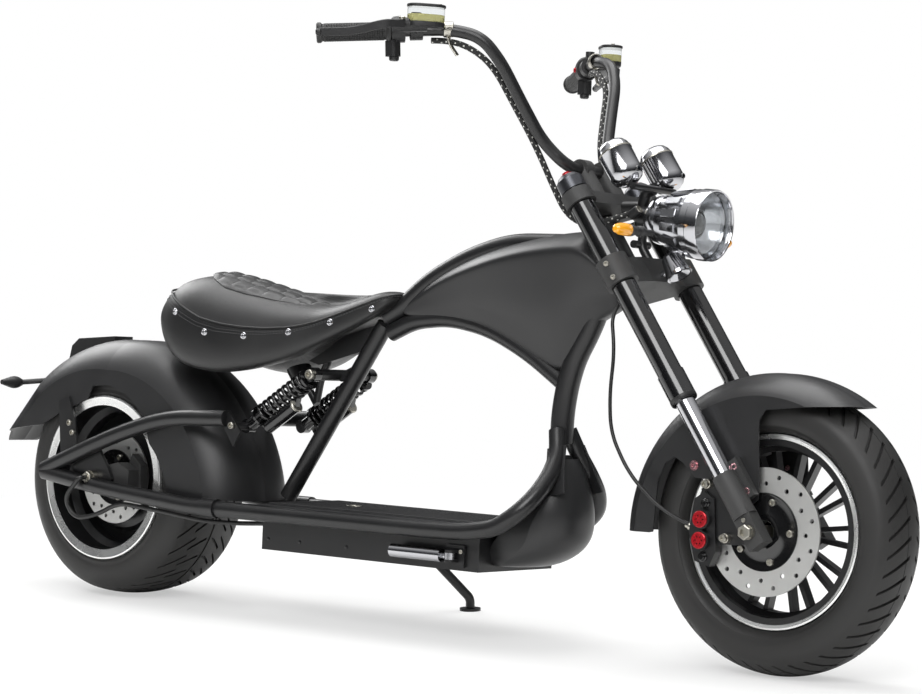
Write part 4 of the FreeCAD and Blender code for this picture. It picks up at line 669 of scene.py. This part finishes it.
def tankRing(x, top, foot, wide, wideAt, flank, flankAt):
    edge, toe = min(tank["edge"], wide * 0.6), min(tank["foot"], flank * 0.8)
    right = [(0, top), (edge * 0.6, top), (edge + (wide - edge) * 0.45, wideAt + (top - wideAt) * 0.72),
             (wide * 0.97, wideAt + (top - wideAt) * 0.25), (wide, wideAt),
             (flank + (wide - flank) * 0.55, wideAt + (flankAt - wideAt) * 0.4), (flank, flankAt),
             (toe + (flank - toe) * 0.4, flankAt + (foot - flankAt) * 0.5), (toe, foot + 3),
             (toe * 0.5, foot), (0, foot)]
    points = [bike(x, -y, z) for y, z in right]
    return points + [Vector((p.x, -p.y, p.z)) for p in reversed(points[1:-1])]


tankSkin = addPiece("tankSkin", lofted([tankRing(*row) for row in tank["rows"]]), "frame",
                    ["mattFenderPaint"], ["tank_shell"], sharp=80)
rounded(tankSkin)

chinStrap = {"run": [(1108, -30, 366), (1120, -47, 322), (1132, -60, 281)], "screw": (1114, -37, 352)}
strap = joined([swept([bike(*spot) for spot in chinStrap["run"]], roundedBox(4, 40, 1.2)),
                capScrew(bike(*chinStrap["screw"]), rightward, 6.5, 5, tint=1)])
addPiece("chinStraps", bothSides(strap), "frame", ["mattFenderPaint", "zincPlate"])
print("tank done")


# Deck mat with its ribs, border and key lock

mat = {"back": 466, "front": 1004, "half": 104, "top": 218, "ribGap": 8.6, "ribMargin": 12, "lockX": 599}


def onMat(fromBack, fromFront, y, high):
    # the two ends of a run along the mat
    z = mat["top"] + high
    return [bike(mat["back"] + fromBack, y, z), bike(mat["front"] - fromFront, y, z)]


def matLayer(inset, high):
    half = mat["half"] - inset
    return onMat(inset, inset, -half, high) + onMat(inset, inset, half, high)[::-1]


matParts = [lofted([matLayer(inset, high) for inset, high in ((0, 0), (0, 1.4), (0.8, 2.0))])]
ribs = int((2 * (mat["half"] - mat["ribMargin"]) + 1) / mat["ribGap"]) + 1
for i in range(ribs):
    y = mat["ribMargin"] - mat["half"] + i * mat["ribGap"]
    matParts.append(swept(onMat(10, 10, y, 2.4), [(-2.2, -1.4), (2.2, -1.4), (1.5, 1.3), (-1.5, 1.3)]))
left, right = onMat(5, 5, mat["half"] - 3, 2.6), onMat(5, 5, 3 - mat["half"], 2.6)
borders = [onMat(3, 3, 4 - mat["half"], 2.6), onMat(3, 3, mat["half"] - 4, 2.6)] + list(zip(right, left))
matParts += [swept(run, roundedBox(5, 4, 1.5)) for run in borders]
matParts.append(spun([(0, 0), (0, 15), (2.5, 15), (3.4, 13.6), (3.4, 10), (2.6, 9.4), (2.6, 0)], 32,
                     aimed(bike(mat["lockX"], 0, mat["top"] + 2), upward, forward), tint=1))
addPiece("deckMat", joined(matParts), "frame", ["matRubber", "zincPlate"])


# Handlebar fittings: grips, levers, reservoirs, switches, clips

bar = {
    "bend": (972, -228, 1104), "gripDir": (-184, -178, -24), "half": 390,
    "grip": 125, "block": (62, 37, 6),  # the brake block in from the grip, ahead of it and above it
}
gripDir = Vector(bar["gripDir"]).normalized()
bendEnd = steerPoint(*bar["bend"])
barEnd = bendEnd + gripDir * ((bar["half"] / 1000 + bendEnd.y) / -gripDir.y)
leverFront = Vector((-gripDir.y, gripDir.x, 0)).normalized()
grip = bar["grip"]


def onGrip(inward, out=0.0, up=0.0):
    # a place in mm in from the bar's end, ahead of it and above it
    return barEnd + (leverFront * out + upward * up - gripDir * inward) / 1000


blockAt = onGrip(grip + bar["block"][0], bar["block"][1], bar["block"][2])


def onBlock(along, out=0.0, up=0.0):
    # a place in mm from the brake block towards the bar's end, ahead of it and above it
    return blockAt + (leverFront * out + upward * up + gripDir * along) / 1000


gripPlace = aimed(barEnd, -gripDir)
gripCore = spun([(-6, 11.3), (-6, 17), (-4, 18.5), (1, 18.5), (2.6, 16.8), (4, 15.6), (grip - 8, 15.6),
                 (grip - 5, 19.6), (grip - 3, 21.4), (grip, 21.4), (grip, 11.3)], 36, gripPlace, closed=True)
knurling = {"sides": 28, "rad": 15.6, "long": 108, "rows": 24, "from": 6.5, "border": 0.6, "high": 0.9}
sides, knurlLong = knurling["sides"], knurling["long"] / 1000
knurl = bmesh.new()
bmesh.ops.create_cone(knurl, segments=sides, radius1=knurling["rad"] / 1000, radius2=knurling["rad"] / 1000,
                      depth=knurlLong)
lengthwise = [edge for edge in knurl.edges if abs(edge.verts[0].co.z - edge.verts[1].co.z) > knurlLong / 2]
bmesh.ops.subdivide_edges(knurl, edges=lengthwise, cuts=knurling["rows"] - 1)
for vert in knurl.verts:
    row = round((vert.co.z / knurlLong + 0.5) * knurling["rows"])
    vert.co = Matrix.Rotation(math.pi / sides * (row % 2), 3, "Z") @ vert.co
lands = [face for face in knurl.faces if abs(face.normal.z) < 0.5]
bmesh.ops.inset_individual(knurl, faces=lands, thickness=knurling["border"] / 1000,
                           depth=knurling["high"] / 1000)
knurl.transform(gripPlace @ Matrix.Translation((0, knurling["from"] / 1000 + knurlLong / 2, 0))
                @ Matrix.Rotation(math.pi / 2, 4, "X"))
addPiece("gripSleeves", bothSides(joined([gripCore, knurl])), "steering", ["gripRubber"], ["grips"],
         sharp=40)

leverRun = smoothRoute([onBlock(42, 18.4), onBlock(62, 28.4), onBlock(80, 33.4), onGrip(60, 51, -4),
                        onGrip(20, 48, -4), onGrip(-4, 48, -4)], 6)
lever = joined([swept(leverRun, roundedBox(7.5, 15, 2)),
                rod(onGrip(-1, 48, -4), onGrip(-10.8, 48, -4), 6.2, 2.2),
                capScrew(onBlock(46, 18.4, 7.5), upward, 6, 5, tint=1)])
addPiece("brakeLeverBlades", bothSides(lever), "steering", ["grainedAbs", "zincPlate"], ["brake_levers"])

# the reservoir's plan, its shift towards the bar's end, how far it sits down on the block, its lid screws
cup = {"long": 70, "wide": 42, "shift": 2, "drop": 11, "screws": 24}


def cupOutline(grow, high, count=10):
    # the round-ended plan of a reservoir, at a height over its foot
    half, straight = cup["wide"] / 2 + grow, (cup["long"] - cup["wide"]) / 2
    flat = Vector((gripDir.x, gripDir.y, 0)).normalized()
    side = upward.cross(flat)
    centre = onBlock(cup["shift"], 0, high - cup["drop"])
    points = []
    for sign in (1, -1):
        for i in range(count + 1):
            turn = math.pi * (i / count - 0.5)
            plan = flat * (straight + half * math.cos(turn)) + side * half * math.sin(turn)
            points.append(centre + plan * sign / 1000)
    return points


def cupLayer(levels):
    return lofted([cupOutline(grow, high) for grow, high in levels])


glassCup = cupLayer([(-2.5, 13.6), (-1.5, 15), (-1.5, 40.4)])
fluid = cupLayer([(-3.6, 15), (-3.2, 16), (-3.2, 27.5)])
lids = [cupLayer([(-1.2, 40.5), (0, 41.5), (0, 45), (-1.4, 46), (-6, 46), (-7, 45)]),
        cupLayer([(-6, 3), (-1.5, 6), (-1, 13.5), (-1.2, 14.4)])]
for along in (-cup["screws"], cup["screws"]):
    lids.append(capScrew(onBlock(cup["shift"] + along, 0, 44.6 - cup["drop"]), upward, 3.4, 2, tint=1))
addPiece("reservoirCups", bothSides(glassCup), "steering", ["clearPolycarbonate"], ["reservoirs"])
addPiece("reservoirFluid", bothSides(fluid), "steering", ["brakeFluid"])
addPiece("reservoirLids", bothSides(joined(lids)), "steering", ["grainedAbs", "zincPlate"])

switchParts = [
    rod(onGrip(grip + 5, 0, 4), onGrip(grip + 24, 0, 6), 21.2, 3, 32),
    swept([onGrip(grip + 6, 0, -18), onGrip(grip + 8, 0, -46)], roundedBox(24, 22, 5)),
    rod(onGrip(grip + 10, 0, -44), onGrip(grip + 10, 0, -54), 9, 2),
    rod(onGrip(grip + 12, -14), onGrip(grip + 12, -24.5), 5, 1.5, tint=1)]
addPiece("switchBlocks", bothSides(joined(switchParts)), "steering", ["grainedAbs", "redAnodised"])

clipAt = bendEnd + gripDir * 0.004
tongue = [clipAt + bike(*spot) for spot in ((0, 0, -12), (6, 4, -30), (16, 10, -46))]
barClip = joined([
    spun([(-9, 11.3), (-9, 13.2), (-7, 14.4), (7, 14.4), (9, 13.2), (9, 11.3)], 28, aimed(clipAt, gripDir),
         closed=True),
    swept(tongue, roundedBox(9, 3, 1)),
    capScrew(clipAt + leverFront * 0.014, leverFront, 4, 4)])
addPiece("barClips", bothSides(barClip), "steering", ["zincPlate"])

braid = {"rad": 5.5, "yarns": 12, "pitch": 2.8, "tracer": 3, "tracerYarns": 4}  # a pale yarn in each few
sleevePoints = [steerPoint(*p) for p in (
    (947, -250, 1082), (970, -224, 1085), (1005, -200, 1071), (1037, -178, 1040), (1057, -140, 977),
    (1081, -100, 908))]
sleevePoints += [fork(*p) for p in (
    (746, -88, -44), (700, -66, -58), (664, -54, -40), (644, -44, 12), (640, -27, 36))]
sleeveRun = evenRoute(smoothRoute(sleevePoints), braid["pitch"] / 1000)
sleeve = swept(sleeveRun, circle(braid["rad"], braid["yarns"]))
for face in sleeve.faces:
    spot = face.calc_center_median()
    row = min(range(len(sleeveRun) - 1), key=lambda i: (sleeveRun[i] + sleeveRun[i + 1] - spot * 2).length)
    around = aimed(sleeveRun[row], sleeveRun[row + 1] - sleeveRun[row], across).inverted() @ spot
    yarn = round(math.atan2(around.x, around.z) / (2 * math.pi) * braid["yarns"])
    tracer, between = divmod(row, braid["tracer"])
    if not between and (yarn + tracer % 2 * 2) % braid["tracerYarns"] == 0:
        face.material_index = 1
addPiece("braidedSleeves", bothSides(sleeve), "steering", ["blackYarn", "paleYarn"], ["bar_looms"])
print("bar done")


# Front end: gauges, headlight, signals, clamps, caliper caps and bolts

pod = {"foot": 667, "ahead": 87, "side": -67}
podPlace = aimed(fork(pod["foot"], pod["side"], pod["ahead"]), legUp, forward)
podParts = [
    spun([(0, 0), (0, 12), (2, 19), (7, 26), (14, 30), (22, 31), (62, 31), (63, 31.8), (66, 31.8), (67, 31),
          (74, 29.4), (81, 25), (84.5, 20), (85, 17.5), (83.4, 17), (82.6, 0)], 64, podPlace),
    spun([(82.4, 0), (83.2, 0.1), (83.2, 16.6), (82.4, 16.6)], 48, podPlace, tint=1),
    spun([(63, 31.6), (63, 32.2), (66, 32.2), (66, 31.6)], 64, podPlace, closed=True, tint=2),
    capScrew(fork(pod["foot"] + 12, pod["side"] - 6, pod["ahead"] + 27), legFront - legUp * 0.5, 5, 4,
             tint=1)]
addPiece("gaugePods", bothSides(joined(podParts)), "steering", ["chromePlate", "smokedGlass", "zincPlate"],
         ["gauge_pods"], sharp=45)

headlight = {"tip": (1395, 0, 774), "aim": (1, 0, -0.09), "steps": 14}
lampPlace = aimed(steerPoint(*headlight["tip"]), Vector(headlight["aim"]))
lampGlass = spun([(3, 0), (2.6, 20), (1.4, 40), (-1, 54), (-3.6, 58.4), (-5.4, 58.4), (-3, 53.6), (-0.8, 40),
                  (0.4, 20), (0.8, 0)], 72, lampPlace)
addPiece("headlightGlass", lampGlass, "steering", ["clearPolycarbonate"], ["headlight_lens"])
bezel = [(-6, 58.4), (8, 59.4), (11.6, 61), (12.4, 63), (9, 64.2), (-10, 64), (-12, 62.4), (-6, 61.6)]
reflector = [(-7, 57.6), (-26, 50), (-46, 34), (-56, 22), (-58, 22), (-49, 36), (-28, 52.5), (-9, 58.6)]
projector = [(-60, 0), (-60, 26), (-30, 27), (-24, 25.5), (-23, 22.5), (-27, 21.6), (-27, 0)]
projectorGlass = [(-27, 21.4), (-21, 18.5), (-16.5, 12), (-15, 5), (-14.8, 0)]
lampParts = [
    spun(bezel, 72, lampPlace, closed=True),
    spun(reflector, 72, lampPlace, closed=True),
    spun(projector, 56, lampPlace, tint=1),
    spun(projectorGlass, 48, lampPlace, tint=2)]
for i in range(headlight["steps"]):  # the cast steps round the back of the bowl
    turn = Matrix.Rotation(2 * math.pi * i / headlight["steps"], 4, "Y")
    step = swept([bike(0, -16, 1.8), bike(0, 16, 7.5)], roundedBox(15, 4.4, 1.2))
    step.transform(lampPlace @ turn @ Matrix.Translation(bike(0, -52, 51.5)))
    lampParts.append(step)
addPiece("headlightOptics", joined(lampParts), "steering", ["chromePlate", "grainedAbs", "smokedGlass"])

signalAt = fromAxle(-262, -158, 506)
signalPlace = aimed(signalAt, across)
lensProfile = [(-27, 0), (-26.6, 4), (-24, 7.6), (-15, 10.4), (0, 11.6), (12, 11.2), (14, 10.6), (14, 0)]
backProfile = [(13, 0), (13, 11.4), (22, 10.8), (31, 8.4), (36, 7), (40, 7.6), (43, 7.6), (45, 6), (45, 0)]
signal = joined([
    spun(lensProfile, 36, signalPlace),
    spun(backProfile, 32, signalPlace, tint=1),
    rod(signalAt + across * 0.044, signalAt + across * 0.085, 5.5, 1, tint=1),
    rod(signalAt + across * 0.044, signalAt + across * 0.058, 10, 2.5, tint=1)])
addPiece("frontSignalLamps", bothSides(signal), "steering", ["amberAcrylic", "grainedAbs"], ["front_signals"])

forkTop = {"side": -106, "cap": 736, "boot": 262, "stem": (712, 0, -40), "key": (1266, -30, 799)}
capPlace = aimed(fork(forkTop["cap"], forkTop["side"]), legUp, forward)
bootPlace = aimed(fork(forkTop["boot"], forkTop["side"]), legUp, forward)
capParts = [
    spun([(0, 0), (0, 14), (3, 14), (4, 12.6), (4, 0)], 32, capPlace),
    spun([(4, 0), (4, 7), (9, 7), (10, 6), (10, 0)], 6, capPlace),
    spun([(0, 18.2), (0, 23.6), (2, 24.6), (8, 24.6), (10, 23.4), (10, 18.2)], 44, bootPlace, closed=True,
         tint=1)]
addPiece("forkTopCaps", bothSides(joined(capParts)), "steering", ["redAnodised", "hoseRubber"])
keyAt = steerPoint(*forkTop["key"])
keySwitch = joined([
    rod(keyAt - legFront * 0.022, keyAt, 9.5, 2, tint=1),
    spun([(0, 0), (0, 7.6), (1.6, 7.2), (1.6, 3), (0.8, 2.6), (0.8, 0)], 32, aimed(keyAt, legFront))])
addPiece("keySwitch", keySwitch, "steering", ["zincPlate", "grainedAbs"])
stemNut = [(0, 0), (0, 20), (3, 21), (9, 21), (12, 18), (12, 8), (10, 6), (10, 0)]
addPiece("stemCapNut", spun(stemNut, 6, aimed(fork(*forkTop["stem"]), legUp, forward)), "steering",
         ["zincPlate"])

frontBolts = {
    "fender": [(1534, -94, 356), (1562, -94, 316), (1445, -82.6, 353)],
    "caliper": [(1482, 323), (1524, 233)], "caliperFrom": -88, "caliperTo": -101,
    "pinch": [516, 544],  # up the leg
}
rose = []
for place in frontBolts["fender"]:
    spot = steerPoint(*place)
    rose += [capScrew(spot, rightward, 6.4, 4.6), rod(spot + across * 0.016, spot + across * 0.0005, 5.2),
             spun([(0, 5), (0, 9), (1.2, 9), (1.2, 5)], 24, aimed(spot, rightward), closed=True)]
addPiece("fenderBolts", bothSides(joined(rose)), "steering", ["roseAnodised"])
bright = []
for x, z in frontBolts["caliper"]:
    head = steerPoint(x, frontBolts["caliperTo"], z)
    bright += [capScrew(head, rightward, 7, 6.5), rod(steerPoint(x, frontBolts["caliperFrom"], z), head, 8.4)]
axleNut = [(0, 0), (0, 12.6), (2, 13.4), (9, 13.4), (11, 11.5), (11, 7), (6, 6.4), (6, 0)]
bright += [spun(axleNut, 6, aimed(frontAxle + rightward * 0.128, rightward)),
           rod(steerPoint(1574, -121, 268), steerPoint(1574, -124, 268), 4)]
for up in frontBolts["pinch"]:
    bright.append(capScrew(fork(up, -134, 4), rightward + legFront * 0.3, 5, 5))
addPiece("frontHardware", joined(bright), "steering", ["zincPlate"])

caliper = {  # in mm from the axle
    "pistons": [(-108, -105.4, 14), (-108, -105.4, -22)], "holes": 6, "holeRing": 6.6,
    "bosses": [(-104, 42), (-104, -50)], "banjo": (-130, -86, -4), "banjoEnd": (-142, -86, 0),
}
pistonCap = [(0, 0), (0, 14.4), (2.4, 14.4), (3.4, 13), (3.4, 9.4), (2, 8.6), (2, 4.6), (3, 4), (3, 0)]
capsMesh = []
for place in caliper["pistons"]:
    spot = fromAxle(*place)
    capsMesh.append(spun(pistonCap, 36, aimed(spot, rightward)))
    for x, z in circle(caliper["holeRing"], caliper["holes"]):
        # each hole is a thin gloss black disc laid on the cap, painted shade for the hole's dark inside
        hole = aimed(spot + bike(x, -1.9, z), rightward)
        capsMesh.append(spun([(0, 0), (0, 1.3), (0.5, 1.3), (0.5, 0)], 10, hole, tint=1))
addPiece("caliperPistonCaps", joined(capsMesh), "steering", ["redAnodised", "glossBlackPaint"])
caliperParts = []
for x, z in caliper["bosses"]:
    caliperParts += [rod(fromAxle(x, -60, z), fromAxle(x, -100, z), 8.6, 1.5),
                     capScrew(fromAxle(x, -100, z), rightward, 6, 4)]
banjoEnd = fromAxle(*caliper["banjoEnd"])
caliperParts += [rod(fromAxle(*caliper["banjo"]), banjoEnd, 7, 1.5, tint=1),
                 capScrew(banjoEnd, Vector((-1, 0, 0.3)), 5.5, 6, tint=1)]
addPiece("caliperBody", joined(caliperParts), "steering", ["glossBlackPaint", "zincPlate"])
print("front done")


# Rear end: lamp lens, bracket bolts, box rivets, shock reservoirs

tailLens = [
    [(-192, -21, 478), (-192, 21, 478), (-184, 21, 505), (-184, -21, 505)],
    [(-198, -20, 478.5), (-198, 20, 478.5), (-190, 20, 504), (-190, -20, 504)]]
addPiece("tailLampLens", lofted([[bike(*corner) for corner in ring] for ring in tailLens]), "frame",
         ["redAcrylic"])

rearBolts = [  # place, radius and height of the head
    ((-83, -121.5, 348), 6, 4.4), ((-73, -121.5, 328), 6, 4.4), ((388, -131, 367), 7, 6),
    ((552, -89.4, 474), 10, 8), ((977, -131, 168), 4, 3)]
rearParts = [capScrew(bike(*place), rightward, radius, high) for place, radius, high in rearBolts]
rearNut = [(0, 0), (0, 13), (8, 13), (10, 11), (10, 6), (6, 5.4), (6, 0)]
rearParts.append(spun(rearNut, 6, aimed(rearAxle + rightward * 0.1385, rightward)))
addPiece("rearHardware", bothSides(joined(rearParts)), "frame", ["zincPlate"])

box = {"rivets": (478, 560, 680, 800, 912), "rivetZ": 152, "side": -110, "bead": (464, 1000, 199)}
rivet = [(0, 0), (0, 3.6), (1.2, 3.2), (1.9, 1.6), (2, 0)]
boxParts = [spun(rivet, 14, aimed(bike(x, box["side"], box["rivetZ"]), rightward)) for x in box["rivets"]]
beadBack, beadFront, beadZ = box["bead"]
bead = [bike(x, box["side"] - 0.6, beadZ) for x in (beadBack, beadFront)]
boxParts.append(swept(bead, roundedBox(2.4, 8, 1)))
addPiece("boxFasteners", bothSides(joined(boxParts)), "frame", ["satinPowderCoat"])

shock = {"upper": (552, -80, 474), "lower": (386, -80, 366), "canDrop": 34}
lowerEye = bike(*shock["lower"])
shockWay = (bike(*shock["upper"]) - lowerEye).normalized()


def onShock(along, down=0.0):
    # a place in mm from the lower eye along the shock, and below it
    return lowerEye + (shockWay * along - upward * down) / 1000


canDrop = shock["canDrop"]
shockParts = [
    rod(onShock(145, canDrop), onShock(60, canDrop), 13, 2),
    rod(onShock(150, canDrop), onShock(144, canDrop), 14.6, 1.5, tint=1),
    swept([onShock(158), onShock(146, canDrop)], roundedBox(14, 12, 3))]
addPiece("shockReservoirs", bothSides(joined(shockParts)), "frame", ["glossBlackPaint", "zincPlate"])
print("rear done")


# Floor, light and camera

studio = {
    "lamps": [  # name, place in m, size in m, watts
        ("keyLamp", (3.0, -4.2, 4.0), 3.0, 190),
        ("topLamp", (0.4, 0.4, 4.6), 3.4, 150),
        ("rearLamp", (-3.6, 1.4, 3.2), 2.6, 110),
    ],
    "lampAim": (0.8, 0.0, 0.5),
    "floorHalf": 14.0,
    # how white the camera sees the floor, near the bike and beyond, to spare a pale backdrop its horizon
    "liftFrom": (0.8, 0.0, 0.0), "liftReach": (1.1, 2.6), "lift": (0.5, 1.0),
    "glow": 0.8,  # of the dome that lights the bike
    "dome": [(0.0, "#6f7072"), (0.75, "#ffffff")],
    "mirrored": [(0.0, "#232425"), (0.35, "#5a5b5d"), (0.9, "#f4f4f4")],
}
cameraAt = {
    "place": (4.1685, -4.0492, 0.8293),
    "azimuth": math.radians(39.23),
    "elevation": math.radians(3.17),
    "lens": 108.9,
}


def lookFrom(thing, place, direction):
    thing.location = place
    thing.rotation_euler = Vector(direction).to_track_quat("-Z", "Y").to_euler()
    bpy.context.scene.collection.objects.link(thing)


camera = bpy.data.objects.new("camera", bpy.data.cameras.new("camera"))
camera.data.lens = cameraAt["lens"]
camera.data.clip_end = 60
level = math.cos(cameraAt["elevation"])
lookFrom(camera, cameraAt["place"], (-math.sin(cameraAt["azimuth"]) * level,
                                     math.cos(cameraAt["azimuth"]) * level, -math.sin(cameraAt["elevation"])))
bpy.context.scene.camera = camera
for name, place, size, watts in studio["lamps"]:
    lamp = bpy.data.objects.new(name, bpy.data.lights.new(name, "AREA"))
    lamp.data.size = size
    lamp.data.energy = watts
    lookFrom(lamp, place, Vector(studio["lampAim"]) - Vector(place))

floorMesh = bmesh.new()
bmesh.ops.create_grid(floorMesh, x_segments=1, y_segments=1, size=studio["floorHalf"])
floorData = bpy.data.meshes.new("floor")
floorMesh.to_mesh(floorData)
floorMesh.free()
floor = bpy.data.objects.new("floor", floorData)
bpy.context.scene.collection.objects.link(floor)
floorPaint = surface("paleFloorPaint", finish("#ececeb", "#f2f2f1", (0.75, 0.85), 20, 0.02, patchMm=900))
paintTree = floorPaint.node_tree
painted = [node for node in paintTree.nodes if node.type == "BSDF_PRINCIPLED"][0]
outlet = [node for node in paintTree.nodes if node.type == "OUTPUT_MATERIAL"][0]
floorRays = addNode(paintTree, "ShaderNodeLightPath")
floorSpot = addNode(paintTree, "ShaderNodeTexCoord")
fromBike = addNode(paintTree, "ShaderNodeVectorMath", {"operation": "DISTANCE", 1: studio["liftFrom"]},
                   {0: floorSpot.outputs["Object"]})
fade = addNode(paintTree, "ShaderNodeMapRange",
               {"From Min": studio["liftReach"][0], "From Max": studio["liftReach"][1],
                "To Min": studio["lift"][0], "To Max": studio["lift"][1]},
               {"Value": fromBike.outputs["Value"]})
lift = addNode(paintTree, "ShaderNodeMath", {"operation": "MULTIPLY"},
               {0: floorRays.outputs["Is Camera Ray"], 1: fade.outputs["Result"]})
white = addNode(paintTree, "ShaderNodeEmission", {"Color": linear("#ffffff"), "Strength": 1.0})
lifted = addNode(paintTree, "ShaderNodeMixShader", {},
                 {0: lift.outputs[0], 1: painted.outputs[0], 2: white.outputs[0]})
paintTree.links.new(lifted.outputs[0], outlet.inputs["Surface"])
floor.data.materials.append(floorPaint)

world = bpy.data.worlds.new("studio")
bpy.context.scene.world = world
world.use_nodes = True
sky = world.node_tree
sky.nodes.clear()
rays = addNode(sky, "ShaderNodeLightPath")
around = addNode(sky, "ShaderNodeTexCoord")
height = addNode(sky, "ShaderNodeSeparateXYZ", {}, {0: around.outputs["Generated"]})
tones = {}
for name in ("dome", "mirrored"):
    tones[name] = addNode(sky, "ShaderNodeValToRGB", {}, {0: height.outputs["Z"]})
    elements = tones[name].color_ramp.elements
    for position, hexColour in studio[name][1:-1]:
        elements.new(position)
    for element, (position, hexColour) in zip(elements, studio[name]):
        element.position = position
        element.color = linear(hexColour)
glow = addNode(sky, "ShaderNodeBackground", {"Strength": studio["glow"]}, {"Color": tones["dome"].outputs[0]})
shine = addNode(sky, "ShaderNodeBackground", {"Strength": 1.0}, {"Color": tones["mirrored"].outputs[0]})
backdrop = addNode(sky, "ShaderNodeBackground", {"Color": linear("#ffffff"), "Strength": 1.0})
seen = addNode(sky, "ShaderNodeMath", {"operation": "MAXIMUM"},
               {0: rays.outputs["Is Camera Ray"], 1: rays.outputs["Is Transmission Ray"]})
lit = addNode(sky, "ShaderNodeMixShader", {},
              {0: rays.outputs["Is Glossy Ray"], 1: glow.outputs[0], 2: shine.outputs[0]})
mixed = addNode(sky, "ShaderNodeMixShader", {},
                {0: seen.outputs[0], 1: lit.outputs[0], 2: backdrop.outputs[0]})
addNode(sky, "ShaderNodeOutputWorld", {}, {"Surface": mixed.outputs[0]})
bpy.context.scene.view_settings.view_transform = "Standard"
print("stage set")
